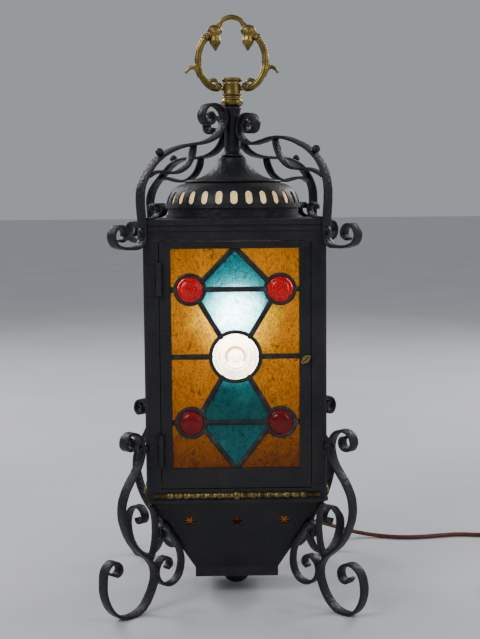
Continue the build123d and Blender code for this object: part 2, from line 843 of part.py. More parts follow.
for corner, turn in CORNERS.items():
    with BuildPart() as rib:
        plane = corner_plane(turn)
        bent_strap(RIB_FOOT + RIB_TOPS[corner], plane, STRAP_WIDE, STRAP_THICK)
        seat = plane.x_dir * CORNER_SEAT + Vector(0, 0, RIB_RIVET_Z)
        with Locations(Plane(origin=seat, z_dir=plane.x_dir)):
            Cylinder(RIVET_R + RUN_GAP, 6, align=(Align.CENTER, Align.CENTER, Align.MIN), mode=Mode.SUBTRACT)
    rib.part.label = f"crown_rib_{corner}"
    export_step(rib.part, f"parts/crown_rib_{corner}.step")

with BuildPart() as crown_branches:
    for corner, turn in CORNERS.items():
        bent_strap(BRANCHES[corner], corner_plane(turn), STRAP_WIDE - 2, STRAP_THICK)
crown_branches.part.label = "crown_branches"
export_step(crown_branches.part, "parts/crown_branches.step")

BALL_R = 4.2
BALL_SPOTS = {
    "front_left": (104.4, 464.2),
    "front_right": (115.6, 465.8),
    "back_right": (101.6, 461.8),
    "back_left": (91.2, 462.2),
}

with BuildPart() as rib_balls:
    for corner, turn in CORNERS.items():
        radius, height = BALL_SPOTS[corner]
        with Locations(corner_plane(turn).from_local_coords(Vector(radius, height, 0))):
            Sphere(BALL_R)
rib_balls.part.label = "rib_balls"
export_step(rib_balls.part, "parts/rib_balls.step")

LEAF_LINE = [
    (124.0, 398.1),
    (116.0, 398.4),
    (109.0, 401.6),
    (107.0, 407.6),
    (110.6, 412.4),
    (115.6, 411.0),
    (116.0, 406.4),
]

with BuildPart() as crown_leaves:
    for turn in CORNERS.values():
        bent_strap(LEAF_LINE, corner_plane(turn), 9.0, 2.0)
crown_leaves.part.label = "crown_leaves"
export_step(crown_leaves.part, "parts/crown_leaves.step")

# ---------------------------------------------------------------- base tray

TRAY_SLOPE = Vector(0, -(TRAY_HALF_TOP - TRAY_HALF_LOW), FRAME_LOW - TRAY_LOW).normalized()


def tray_half(height):
    """The tray's outer half width at this height."""
    share = (height - TRAY_LOW) / (FRAME_LOW - TRAY_LOW)
    return TRAY_HALF_LOW + share * (TRAY_HALF_TOP - TRAY_HALF_LOW)


def tray_wall_plane(turn, x, height):
    """A plane on the tray's sloping wall, at this place across and up, its normal pointing out and down."""
    side = side_plane(turn, tray_half(height))
    up = side.z_dir * -TRAY_SLOPE.Y + Vector(0, 0, TRAY_SLOPE.Z)
    normal = side.x_dir.cross(up)
    return Plane(origin=side.origin + side.x_dir * x + Vector(0, 0, height), x_dir=side.x_dir, z_dir=normal)


with BuildPart() as base_tray:
    with BuildSketch(Plane.XY.offset(TRAY_LOW)):
        Rectangle(2 * TRAY_HALF_LOW, 2 * TRAY_HALF_LOW)
    with BuildSketch(Plane.XY.offset(FRAME_LOW)):
        Rectangle(2 * TRAY_HALF_TOP, 2 * TRAY_HALF_TOP)
    loft()
    with BuildSketch(Plane.XY.offset(TRAY_LOW)):
        Rectangle(2 * (TRAY_HALF_LOW - TRAY_SHEET), 2 * (TRAY_HALF_LOW - TRAY_SHEET))
    with BuildSketch(Plane.XY.offset(FRAME_LOW)):
        Rectangle(2 * (TRAY_HALF_TOP - TRAY_SHEET), 2 * (TRAY_HALF_TOP - TRAY_SHEET))
    loft(mode=Mode.SUBTRACT)
    for turn in SIDES.values():
        for x in (-ROSETTE_X, 0, ROSETTE_X):
            with BuildSketch(tray_wall_plane(turn, x, ROSETTE_Z)):
                Circle(2.6)
                with PolarLocations(3.4, 6):
                    Ellipse(2.3, 1.5)
            extrude(amount=2 * TRAY_SHEET, both=True, mode=Mode.SUBTRACT)
    with BuildSketch(tray_wall_plane(SIDES["back"], -GLAND_X, GLAND_Z)):
        Circle(GLAND_STEM_R + RUN_GAP)
    extrude(amount=2 * TRAY_SHEET, both=True, mode=Mode.SUBTRACT)
base_tray.part.label = "base_tray"
export_step(base_tray.part, "parts/base_tray.step")

with BuildPart() as base_plate:
    with BuildSketch(Plane.XY.offset(LIP_LOW)):
        Rectangle(2 * TRAY_HALF_LOW, 2 * TRAY_HALF_LOW)
    extrude(amount=TRAY_LOW - LIP_LOW)
    with BuildSketch(Plane.XY.offset(LIP_LOW)):
        Rectangle(2 * (TRAY_HALF_LOW - 2.5), 2 * (TRAY_HALF_LOW - 2.5))
    extrude(amount=TRAY_LOW - LIP_LOW - 3, mode=Mode.SUBTRACT)
    with BuildSketch(Plane.XY.offset(LIP_LOW)):
        Circle(TUBE_R + RUN_GAP)
    extrude(amount=TRAY_LOW - LIP_LOW, mode=Mode.SUBTRACT)
base_plate.part.label = "base_plate"
export_step(base_plate.part, "parts/base_plate.step")

with BuildPart() as bottom_knob:
    with BuildSketch(Plane.XZ):
        with BuildLine():
            neck = Polyline((0, 28), (8.0, 28), (8.0, 24.5), (6.4, 23.2))
            bulb = ThreePointArc(neck @ 1, (14.4, 12.8), (6.6, 2.4))
            Polyline(bulb @ 1, (3.0, 1.4), (0, 1.4), (0, 28))
        make_face()
    revolve(axis=Axis.Z)
    with BuildSketch(Plane.XY.offset(14)):
        Circle(TUBE_R + RUN_GAP)
    extrude(amount=14, mode=Mode.SUBTRACT)
bottom_knob.part.label = "bottom_knob"
export_step(bottom_knob.part, "parts/bottom_knob.step")

# ---------------------------------------------------------------- legs

# Each leg's centre line: the curl beside the body's corner, down the corner, out, in under the tray, and round
# the open foot to its end curl. The foot's lowest stretch is straight, so that it has a flat to stand on.
LEG_CURLS = {
    "front_left": [
        (151.0, 181.4),
        (146.6, 178.2),
        (147.2, 172.0),
        (152.8, 170.0),
        (157.6, 174.6),
        (156.4, 181.8),
        (150.0, 186.0),
        (142.4, 184.2),
        (137.0, 178.0),
    ],
    "front_right": [
        (155.2, 181.0),
        (150.0, 179.4),
        (148.8, 173.6),
        (152.8, 168.8),
        (159.6, 168.8),
        (163.4, 175.2),
        (160.6, 183.2),
        (152.6, 187.0),
        (143.4, 185.0),
        (137.0, 178.2),
    ],
}
LEG_BODY = [
    (134.6, 168.6),
    (137.0, 157.0),
    (143.6, 146.0),
    (150.6, 137.4),
    (157.4, 127.0),
    (161.4, 115.0),
    (161.6, 102.0),
    (158.0, 90.0),
    (152.6, 79.0),
    (145.0, 68.6),
    (136.0, 60.6),
    (127.2, 53.0),
    (121.2, 43.6),
    (120.4, 33.6),
    (123.6, 23.6),
    (130.0, 13.0),
    (138.4, 5.2),
    (148.0, STRAP_THICK / 2),
]
FOOT_FLAT_END = 159.0
FOOT_CURLS = {
    "front_left": [
        (170.6, 6.0),
        (180.4, 16.0),
        (186.4, 30.0),
        (187.2, 43.6),
        (185.0, 55.0),
        (177.6, 61.4),
        (169.2, 59.0),
        (166.6, 52.0),
        (171.4, 47.4),
        (177.2, 49.8),
    ],
    "front_right": [
        (166.6, 6.0),
        (173.2, 15.0),
        (176.4, 26.0),
        (175.6, 38.0),
        (171.0, 47.6),
        (162.6, 52.6),
        (153.0, 51.0),
        (147.4, 44.0),
        (149.6, 36.0),
        (156.6, 34.0),
        (160.6, 39.0),
    ],
    "back_right": [
        (166.6, 6.0),
        (174.6, 15.0),
        (178.8, 26.6),
        (177.8, 38.6),
        (171.0, 48.0),
        (162.6, 54.6),
        (153.0, 53.4),
        (147.4, 46.0),
        (149.6, 38.0),
        (156.4, 36.0),
        (160.4, 41.0),
    ],
    "back_left": [
        (167.6, 6.0),
        (175.2, 15.0),
        (179.4, 27.0),
        (179.0, 40.0),
        (174.0, 51.0),
        (164.8, 57.6),
        (154.6, 56.6),
        (148.8, 48.8),
        (151.2, 40.8),
        (158.0, 39.4),
        (161.4, 44.4),
    ],
}
for corner, turn in CORNERS.items():
    plane = corner_plane(turn)
    curl = LEG_CURLS["front_left" if corner.endswith("left") else "front_right"]
    with BuildPart() as leg:
        with BuildLine(plane) as route:
            forged_line(curl + LEG_BODY, last=(1, 0))
            Line(LEG_BODY[-1], (FOOT_FLAT_END, STRAP_THICK / 2))
            forged_line([(FOOT_FLAT_END, STRAP_THICK / 2)] + FOOT_CURLS[corner], first=(1, 0))
        with BuildSketch(Plane(origin=route.line @ 0, x_dir=plane.z_dir, z_dir=route.line % 0)):
            Rectangle(STRAP_WIDE, STRAP_THICK)
        sweep()
        with Locations(Plane(origin=plane.x_dir * CORNER_SEAT + Vector(0, 0, RIVET_Z), z_dir=plane.x_dir)):
            Cylinder(RIVET_R + RUN_GAP, 12, align=(Align.CENTER, Align.CENTER, Align.MIN), mode=Mode.SUBTRACT)
    leg.part.label = f"leg_{corner}"
    export_step(leg.part, f"parts/leg_{corner}.step")

C_SCROLL_LINE = [
    (109.6, 80.6),
    (106.4, 78.2),
    (107.6, 73.8),
    (112.4, 73.6),
    (115.0, 78.6),
    (113.0, 84.6),
    (107.4, 86.4),
    (102.0, 81.0),
    (95.6, 71.8),
    (87.9, 61.8),
    (83.6, 51.4),
    (82.8, 40.4),
    (86.0, 30.6),
    (93.2, 24.0),
    (101.8, 22.2),
    (110.2, 25.2),
    (116.2, 32.0),
    (117.4, 41.0),
    (113.0, 49.0),
    (106.2, 51.8),
    (100.4, 48.8),
    (99.4, 43.0),
    (103.6, 39.6),
]
STAY_LINE = [
    (123.9, 108.4),
    (119.6, 99.0),
    (118.2, 88.0),
    (118.6, 75.0),
    (121.0, 63.0),
    (125.2, 53.6),
]

with BuildPart() as leg_c_scrolls:
    for turn in CORNERS.values():
        bent_strap(C_SCROLL_LINE, corner_plane(turn), STRAP_WIDE - 2, STRAP_THICK)
leg_c_scrolls.part.label = "leg_c_scrolls"
export_step(leg_c_scrolls.part, "parts/leg_c_scrolls.step")

with BuildPart() as leg_stays:
    for turn in CORNERS.values():
        bent_strap(STAY_LINE, corner_plane(turn), STRAP_WIDE - 3, STRAP_THICK - 0.5)
leg_stays.part.label = "leg_stays"
export_step(leg_stays.part, "parts/leg_stays.step")

UPWARD = (Align.CENTER, Align.CENTER, Align.MIN)
LEG_FACE = 133.05  # the inner face of a leg's strap at its rivet

with BuildPart() as strap_rivets:
    for turn in CORNERS.values():
        out = corner_plane(turn).x_dir
        with Locations(Plane(origin=out * CORNER_SEAT + Vector(0, 0, RIVET_Z), z_dir=out)):
            Cylinder(RIVET_R + 2, LEG_FACE - CORNER_SEAT, align=UPWARD)
            Cylinder(RIVET_R, LEG_FACE - CORNER_SEAT + STRAP_THICK + 0.2, align=UPWARD)
        with Locations(Plane(origin=out * (LEG_FACE + STRAP_THICK + 0.2) + Vector(0, 0, RIVET_Z), z_dir=out)):
            Cone(RIVET_HEAD_R, RIVET_HEAD_R / 2, RIVET_HEAD, align=UPWARD)
        with Locations(Plane(origin=out * CORNER_SEAT + Vector(0, 0, RIB_RIVET_Z), z_dir=out)):
            Cylinder(RIVET_R, STRAP_THICK + 0.2, align=UPWARD)
        rib_face = out * (CORNER_SEAT + STRAP_THICK + 0.2) + Vector(0, 0, RIB_RIVET_Z)
        with Locations(Plane(origin=rib_face, z_dir=out)):
            Cone(RIVET_HEAD_R, RIVET_HEAD_R / 2, RIVET_HEAD, align=UPWARD)
strap_rivets.part.label = "strap_rivets"
export_step(strap_rivets.part, "parts/strap_rivets.step")

# ---------------------------------------------------------------- lamp

with BuildPart() as lamp_tube:
    with BuildSketch(Plane.XY.offset(TUBE_LOW)):
        Circle(TUBE_R)
        Circle(TUBE_R - 1.6, mode=Mode.SUBTRACT)
    extrude(amount=TUBE_TOP - TUBE_LOW)
    for height in (TRAY_LOW + 0.2, HOLDER_LOW - 5.2):
        with BuildSketch(Plane.XY.offset(height)):
            RegularPolygon(8.5, 6, major_radius=False)
            Circle(TUBE_R - 0.5, mode=Mode.SUBTRACT)
        extrude(amount=5)
lamp_tube.part.label = "lamp_tube"
export_step(lamp_tube.part, "parts/lamp_tube.step")

with BuildPart() as lamp_holder:
    with BuildSketch(Plane.XZ):
        with BuildLine():
            Polyline(
                (TUBE_R + RUN_GAP, HOLDER_LOW),
                (15.0, HOLDER_LOW),
                (HOLDER_R - 1, HOLDER_LOW + 13),
                (HOLDER_R - 1, HOLDER_LOW + 22),
                (HOLDER_R, HOLDER_LOW + 23),
                (HOLDER_R, HOLDER_TOP),
                (14.3, HOLDER_TOP),
                (14.3, 206.0),
                (TUBE_R + RUN_GAP, 206.0),
                close=True,
            )
        make_face()
    revolve(axis=Axis.Z)
lamp_holder.part.label = "lamp_holder"
export_step(lamp_holder.part, "parts/lamp_holder.step")

CAP_LOW = 213.0
CAP_HIGH = 239.0
CAP_R = 13.2

with BuildPart() as bulb_cap:
    with BuildSketch(Plane.XZ):
        with BuildLine():
            Polyline(
                (0, CAP_LOW - 4),
                (4, CAP_LOW - 4),
                (5, CAP_LOW - 2),
                (10, CAP_LOW),
                (CAP_R, CAP_LOW + 2),
                (CAP_R, CAP_HIGH),
                (0, CAP_HIGH),
                close=True,
            )
        make_face()
    revolve(axis=Axis.Z)
bulb_cap.part.label = "bulb_cap"
export_step(bulb_cap.part, "parts/bulb_cap.step")


def bulb_outline(skin):
    """Half of the bulb's section, this far inside its surface, from the cap up to the top of the globe."""
    low = CAP_HIGH + skin
    globe = BULB_R - skin
    waist = math.radians(-32)
    side_end = (globe * math.cos(waist), BULB_Z + globe * math.sin(waist))
    neck = Line((0, low), (CAP_R - 0.4 - skin, low))
    side = Spline(neck @ 1, (CAP_R + 3.0 - skin, CAP_HIGH + 16), side_end, tangents=[(0, 1), (0.53, 0.85)])
    ThreePointArc(side @ 1, (globe, BULB_Z), (0, BULB_Z + globe))
    Line((0, BULB_Z + globe), (0, low))


with BuildPart() as bulb_glass:
    with BuildSketch(Plane.XZ):
        with BuildLine():
            bulb_outline(0)
        make_face()
        with BuildLine():
            bulb_outline(1.0)
        make_face(mode=Mode.SUBTRACT)
    revolve(axis=Axis.Z)
bulb_glass.part.label = "bulb_glass"
export_step(bulb_glass.part, "parts/bulb_glass.step")

# ---------------------------------------------------------------- cord and what is on it

WALL = tray_wall_plane(SIDES["back"], -GLAND_X, GLAND_Z)
WALL_THICK = TRAY_SHEET * TRAY_SLOPE.Z
GLAND_END = WALL.origin + WALL.z_dir * GLAND_LONG
GLAND_START = WALL.origin - WALL.z_dir * (WALL_THICK + 4)

with BuildPart() as cord_gland:
    with Locations(Plane(origin=WALL.origin, z_dir=WALL.z_dir)):
        Cylinder(8.0, 3, align=UPWARD)
        Cone(6.0, CORD_R + 0.8, GLAND_LONG, align=UPWARD)
    with Locations(Plane(origin=GLAND_START, z_dir=WALL.z_dir)):
        Cylinder(GLAND_STEM_R, WALL_THICK + 4, align=UPWARD)
        Cylinder(7.5, 3.9, align=UPWARD)
cord_gland.part.label = "cord_gland"
export_step(cord_gland.part, "parts/cord_gland.step")


def cord_tube(points):
    """Adds a cord's tube to the part: straight runs joined by arcs as large as the runs allow."""
    spots = [Vector(*point) for point in points]
    radii = []
    for before, here, after in zip(spots, spots[1:], spots[2:]):
        turn = (here - before).get_angle(after - here)
        run = min((here - before).length, (after - here).length)
        radii.append(0.45 * run / math.tan(math.radians(turn / 2)))
    with BuildLine(mode=Mode.PRIVATE) as path:
        FilletPolyline(*spots, radius=radii)
    with BuildSketch(Plane(origin=path.line @ 0, z_dir=path.line % 0), mode=Mode.PRIVATE) as section:
        Circle(CORD_R)
    tube = sweep(section.sketch, path=path.line)
    length = sum(edge.length for edge in path.edges())
    print("cord", round(length, 1), "radii", [round(r, 1) for r in radii])
    print("volume over section times length", round(tube.volume / (math.pi * CORD_R**2 * length), 4))
    return length


INNER_ROUTE = [
    GLAND_START,
    GLAND_START - WALL.z_dir * 24,
    (18.0, 24.0, 108.0),
    (12.6, 9.0, 130.0),
    (11.4, 3.6, 154.0),
    (11.4, 3.0, HOLDER_LOW),
]

with BuildPart() as inner_flex:
    cord_tube(INNER_ROUTE)
inner_flex.part.label = "inner_flex"
export_step(inner_flex.part, "parts/inner_flex.step")

COIL_IN_X = COIL_X - 21.0
COIL_OUT_Y = COIL_Y - 22.0
COIL_TOP = 4 * CORD_R
CORD_ROUTE = [
    GLAND_END,
    GLAND_END + WALL.z_dir * 28,
    (44.0, 141.0, 41.5),
    (77.0, 159.0, 30.0),
    (112.0, 171.0, 19.0),
    (146.0, 178.0, 6.5),
    (176.0, 171.0, CORD_R),
    (202.0, 162.0, CORD_R),
    (228.0, 162.0, CORD_R),
    (254.0, 168.5, CORD_R),
    (279.0, 173.0, CORD_R),
    (300.0, COIL_Y + COIL_TURN_R, CORD_R),
    (COIL_IN_X, COIL_Y + COIL_TURN_R, CORD_R),
]
SWITCH_END = SWITCH_LONG / 2 + RELIEF
TAIL_ROUTE = [
    (COIL_X + COIL_TURN_R, COIL_OUT_Y, COIL_TOP - CORD_R),
    (377.2, 99.6, 7.2),
    (373.8, 89.6, 6.3),
    (SWITCH_X, SWITCH_Y + SWITCH_END, SWITCH_CORD_Z),
]
END_ROUTE = [
    (SWITCH_X, SWITCH_Y - SWITCH_END, SWITCH_CORD_Z),
    (SWITCH_X, -13.0, 5.6),
    (366.9, -27.8, 5.0),
    (355.6, -39.1, 5.2),
    (340.8, PLUG_Y, 6.5),
    (PLUG_TIP_X, PLUG_Y, PLUG_Z),
]

with BuildPart() as cord:
    cord_tube(CORD_ROUTE)
    cord_tube(TAIL_ROUTE)
    cord_tube(END_ROUTE)
cord.part.label = "cord"
export_step(cord.part, "parts/cord.step")

with BuildPart() as cord_coil:
    with BuildSketch():
        with Locations((COIL_X, COIL_Y)):
            Circle(COIL_TURN_R + CORD_R)
            Circle(COIL_HOLE_R, mode=Mode.SUBTRACT)
    extrude(amount=COIL_TOP)
    with Locations(Plane(origin=(COIL_IN_X, COIL_Y + COIL_TURN_R, CORD_R), z_dir=(1, 0, 0))):
        Cylinder(CORD_R - RUN_GAP, COIL_X - COIL_IN_X, align=UPWARD)
    with Locations(Plane(origin=(COIL_X + COIL_TURN_R, COIL_OUT_Y, COIL_TOP - CORD_R), z_dir=(0, 1, 0))):
        Cylinder(CORD_R - RUN_GAP, COIL_Y - COIL_OUT_Y, align=UPWARD)
cord_coil.part.label = "cord_coil"
export_step(cord_coil.part, "parts/cord_coil.step")

ROCKER_Z = 13.0
ROCKER_TILT = 8.0
ROCKER_HALF = 8.5
ROCKER_WIDE = 10.0
ROCKER_PIN_R = 1.0

with BuildPart() as switch_case:
    with BuildSketch():
        with Locations((SWITCH_X, SWITCH_Y)):
            RectangleRounded(SWITCH_WIDE, SWITCH_LONG, 7)
    extrude(amount=SWITCH_TALL)
    chamfer(switch_case.faces().sort_by(Axis.Z)[-1].edges(), 2)
    for side in (1, -1):
        with Locations(
            Plane(origin=(SWITCH_X, SWITCH_Y + side * SWITCH_LONG / 2, SWITCH_CORD_Z), z_dir=(0, side, 0))
        ):
            Cone(4.6, CORD_R + 0.6, RELIEF, align=UPWARD)
    with Locations((SWITCH_X, SWITCH_Y, SWITCH_TALL)):
        Box(ROCKER_WIDE + 0.8, 2 * ROCKER_HALF + 2.4, 20, mode=Mode.SUBTRACT)
        with Locations(Location((0, 0, ROCKER_Z - SWITCH_TALL), (0, 90, 0))):
            Cylinder(ROCKER_PIN_R + RUN_GAP, ROCKER_WIDE + 6, mode=Mode.SUBTRACT)
switch_case.part.label = "switch_case"
export_step(switch_case.part, "parts/switch_case.step")

with BuildPart() as switch_rocker:
    tilt = math.radians(ROCKER_TILT)
    pivot = (SWITCH_X, SWITCH_Y, ROCKER_Z)
    with BuildSketch(Plane(origin=pivot, x_dir=(0, math.cos(tilt), math.sin(tilt)), z_dir=(1, 0, 0))):
        with BuildLine():
            top = Polyline((-7.4, -1), (-ROCKER_HALF, 3.8), (0, 2.2), (ROCKER_HALF, 3.8), (7.4, -1))
            ThreePointArc(top @ 1, (0, -4.6), top @ 0)
        make_face()
    extrude(amount=ROCKER_WIDE / 2, both=True)
    with Locations(Location((SWITCH_X, SWITCH_Y, ROCKER_Z), (0, 90, 0))):
        Cylinder(ROCKER_PIN_R, ROCKER_WIDE + 4)
switch_rocker.part.label = "switch_rocker"
export_step(switch_rocker.part, "parts/switch_rocker.step")

PLUG_BODY_X = PLUG_TIP_X - 10.0
PLUG_BODY_LONG = 35.0
PLUG_HALF = 17.6
PLUG_PIN_SPREAD = 19.0

with BuildPart() as plug:
    with BuildSketch():
        with BuildLine():
            Polyline(
                (PLUG_BODY_X, PLUG_Y - 5),
                (PLUG_BODY_X, PLUG_Y + 5),
                (PLUG_BODY_X - 12, PLUG_Y + PLUG_HALF - 3),
                (PLUG_BODY_X - PLUG_BODY_LONG, PLUG_Y + PLUG_HALF),
                (PLUG_BODY_X - PLUG_BODY_LONG, PLUG_Y - PLUG_HALF),
                (PLUG_BODY_X - 12, PLUG_Y - PLUG_HALF + 3),
                close=True,
            )
        make_face()
    extrude(amount=2 * PLUG_Z)
    with Locations(Plane(origin=(PLUG_BODY_X, PLUG_Y, PLUG_Z), z_dir=(1, 0, 0))):
        Cone(4.6, CORD_R + 0.6, 10.0, align=UPWARD)
    for side in (1, -1):
        with Locations(
            Plane(
                origin=(PLUG_BODY_X - PLUG_BODY_LONG, PLUG_Y + side * PLUG_PIN_SPREAD / 2, PLUG_Z),
                z_dir=(-1, 0, 0),
            )
        ):
            Cylinder(PLUG_PIN_R, PLUG_PIN_LONG, align=UPWARD)
plug.part.label = "plug"
export_step(plug.part, "parts/plug.step")
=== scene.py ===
import json
import math

import bmesh
import bpy
from mathutils import Matrix, Vector, noise


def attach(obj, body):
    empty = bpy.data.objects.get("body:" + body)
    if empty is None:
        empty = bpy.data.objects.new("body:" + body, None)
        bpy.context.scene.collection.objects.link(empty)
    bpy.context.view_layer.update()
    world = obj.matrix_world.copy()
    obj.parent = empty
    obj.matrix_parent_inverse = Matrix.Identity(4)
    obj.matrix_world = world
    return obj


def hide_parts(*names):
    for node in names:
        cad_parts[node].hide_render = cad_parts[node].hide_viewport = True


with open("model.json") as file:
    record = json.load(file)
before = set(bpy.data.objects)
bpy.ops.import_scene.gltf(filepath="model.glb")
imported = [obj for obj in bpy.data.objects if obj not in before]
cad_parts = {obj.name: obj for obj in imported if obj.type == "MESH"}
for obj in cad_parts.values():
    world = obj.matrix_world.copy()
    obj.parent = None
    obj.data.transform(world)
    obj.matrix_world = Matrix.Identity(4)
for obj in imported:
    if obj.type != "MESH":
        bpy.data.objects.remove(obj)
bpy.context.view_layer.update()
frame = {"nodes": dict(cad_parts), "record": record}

MM = 0.001
SIDES = {"front": 0, "right": 90, "back": 180, "left": 270}
CORNERS = {"front_left": 225, "front_right": 315, "back_right": 45, "back_left": 135}
BULB_Z, BULB_R, CAP_HIGH = 290.0, 30.0, 239.0


# ---------------------------------------------------------------- camera

SENSOR, LENS = 24.0, 45.821597  # millimetres
CAMERA_AT = (-0.01815, -1.29987, 0.414)
PAN, PITCH, ROLL = -1.08, -5.505, -0.5

camera_data = bpy.data.cameras.new("camera")
camera_data.sensor_fit = "VERTICAL"
camera_data.sensor_height = SENSOR
camera_data.lens = LENS
camera = bpy.data.objects.new("camera", camera_data)
bpy.context.scene.collection.objects.link(camera)
camera.matrix_world = (
    Matrix.Translation(CAMERA_AT)
    @ Matrix.Rotation(math.radians(PAN), 4, "Z")
    @ Matrix.Rotation(math.radians(90 + PITCH), 4, "X")
    @ Matrix.Rotation(math.radians(ROLL), 4, "Z")
)
bpy.context.scene.camera = camera


# ---------------------------------------------------------------- the cord

CORD_R = 2.5
COIL_X, COIL_Y = 342.0, 132.0
COIL_TURNS = 3.625
COIL_STEPS = 24  # control points in a turn
COIL_OUT_R, COIL_IN_R = 36.0, 17.9
ROUTE_TO_COIL = [
    (25.0, 92.10, 65.48),
    (25.0, 116.63, 52.0),
    (44.0, 141.0, 41.5),
    (77.0, 159.0, 30.0),
    (112.0, 171.0, 19.0),
    (146.0, 176.5, 6.5),
    (176.0, 171.0, CORD_R),
    (202.0, 162.0, CORD_R),
    (228.0, 162.0, CORD_R),
    (254.0, 168.5, CORD_R),
    (279.0, 173.0, CORD_R),
    (300.0, 168.0, CORD_R),
    (321.0, 168.0, CORD_R),
]
ROUTE_FROM_COIL = [
    (378.0, 110.0, 7.5),
    (377.2, 99.6, 7.2),
    (373.8, 89.6, 6.3),
    (373.0, 79.0, 6.0),
    (373.0, 61.0, 5.4),
    (373.0, 23.0, 5.4),
    (373.0, 5.0, 6.0),
    (373.0, -13.0, 5.6),
    (366.9, -27.8, 5.0),
    (355.6, -39.1, 5.2),
    (340.8, -45.2, 6.5),
    (324.8, -45.2, 6.9),
]


def coil_points():
    """Two layers of turns, inward on the floor and back out on top of it, clockwise from above."""
    points = []
    count = round(COIL_TURNS * COIL_STEPS)
    grow = 1 / math.cos(math.pi / COIL_STEPS) ** 0.75  # the spline cuts inside its control polygon
    for k in range(2 * count + 1):
        inward = k / count if k <= count else 2 - k / count
        radius = (COIL_OUT_R + (COIL_IN_R - COIL_OUT_R) * inward) * grow
        angle = math.radians(90 - 360 * k / COIL_STEPS)
        rise = min(max((k - count + 3) / 6, 0), 1)
        points.append(
            (COIL_X + radius * math.cos(angle), COIL_Y + radius * math.sin(angle), CORD_R + 2 * CORD_R * rise)
        )
    return points


def nurbs_curve(name, points, bevel):
    """An open smooth NURBS cord with these control points, in millimetres."""
    curve = bpy.data.curves.new(name, "CURVE")
    curve.dimensions = "3D"
    spline = curve.splines.new("NURBS")
    spline.points.add(len(points) - 1)
    for slot, point in zip(spline.points, points):
        slot.co = (point[0] * MM, point[1] * MM, point[2] * MM, 1)
    spline.order_u = 3
    spline.use_endpoint_u = True
    spline.resolution_u = 6
    spline.points.foreach_set("radius", [bevel * MM] * len(points))
    curve.bevel_depth = 1.0
    curve.bevel_resolution = 5
    curve.use_fill_caps = True
    obj = bpy.data.objects.new(name, curve)
    bpy.context.scene.collection.objects.link(obj)
    return obj


cord = nurbs_curve("cord_visual", ROUTE_TO_COIL + coil_points() + ROUTE_FROM_COIL, CORD_R)
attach(cord, "lantern")
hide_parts("cord", "cord_coil")


# ---------------------------------------------------------------- materials


def new_material(name):
    """A material with an empty node tree but for its output; returns it and its tree."""
    made = bpy.data.materials.new(name)
    made.use_nodes = True
    tree = made.node_tree
    tree.nodes.clear()
    output = tree.nodes.new("ShaderNodeOutputMaterial")
    output.name = "out"
    return made, tree


def node(tree, kind, **inputs):
    """A node of this kind with values or links put on its inputs, by name."""
    made = tree.nodes.new(kind)
    for key, value in inputs.items():
        put(tree, made, key.replace("_", " "), value)
    return made


def put(tree, made, key, value):
    """Sets or links one input of a node."""
    socket = made.inputs[key]
    if isinstance(value, bpy.types.NodeSocket):
        tree.links.new(value, socket)
    else:
        socket.default_value = value


def maths(tree, kind, operation, first, second):
    """The value that a maths node of this kind makes from two values or links."""
    made = tree.nodes.new(kind)
    made.operation = operation
    put(tree, made, 0, first)
    put(tree, made, 1, second)
    return made.outputs["Value"]


def cover(tree, shader):
    """Puts a shader on the material's output."""
    tree.links.new(shader.outputs[0], tree.nodes["out"].inputs["Surface"])


def paint(tree, **inputs):
    """Covers the material with a principled shader that has these inputs."""
    cover(tree, node(tree, "ShaderNodeBsdfPrincipled", **inputs))


def place(tree, stretch=(1, 1, 1)):
    """The surface's place in the object's own frame, in metres, stretched along the axes."""
    where = node(tree, "ShaderNodeTexCoord").outputs["Object"]
    return node(tree, "ShaderNodeMapping", Vector=where, Scale=stretch).outputs["Vector"]


def cloud(tree, vector, scale, detail, rough, distort=0.0):
    """Noise, from 0 to 1."""
    made = node(
        tree, "ShaderNodeTexNoise", Vector=vector, Scale=scale, Detail=detail, Roughness=rough,
        Distortion=distort,
    )
    return made.outputs["Fac"]


def ramp(tree, factor, stops):
    """A colour ramp; stops are (place, colour), a colour being a grey value or an RGB triple."""
    made = node(tree, "ShaderNodeValToRGB", Fac=factor)
    band = made.color_ramp
    while len(band.elements) < len(stops):
        band.elements.new(0.5)
    for element, (at, colour) in zip(band.elements, stops):
        element.position = at
        if not isinstance(colour, tuple):
            colour = (colour, colour, colour)
        element.color = (*colour, 1)
    return made.outputs["Color"]


def blend(tree, factor, first, second, mode="MIX"):
    """Two colours, each an RGB triple or a link, mixed by a factor."""
    made = tree.nodes.new("ShaderNodeMix")
    made.data_type = "RGBA"
    made.blend_type = mode
    put(tree, made, 0, factor)
    for index, value in ((6, first), (7, second)):
        put(tree, made, index, (*value, 1) if isinstance(value, tuple) else value)
    return made.outputs[2]


def bump(tree, height, strength, distance, normal=None):
    """Bump from a height."""
    made = node(tree, "ShaderNodeBump", Height=height, Strength=strength, Distance=distance)
    if normal is not None:
        put(tree, made, "Normal", normal)
    return made.outputs["Normal"]


def worn_edges(tree, radius=0.0012):
    """1 on sharp outer edges, 0 elsewhere."""
    soft = node(tree, "ShaderNodeBevel", Radius=radius)
    soft.samples = 4
    flat = node(tree, "ShaderNodeNewGeometry")
    alike = maths(
        tree, "ShaderNodeVectorMath", "DOT_PRODUCT", soft.outputs["Normal"], flat.outputs["Normal"]
    )
    return ramp(tree, alike, [(0.80, 1.0), (0.985, 0.0)])


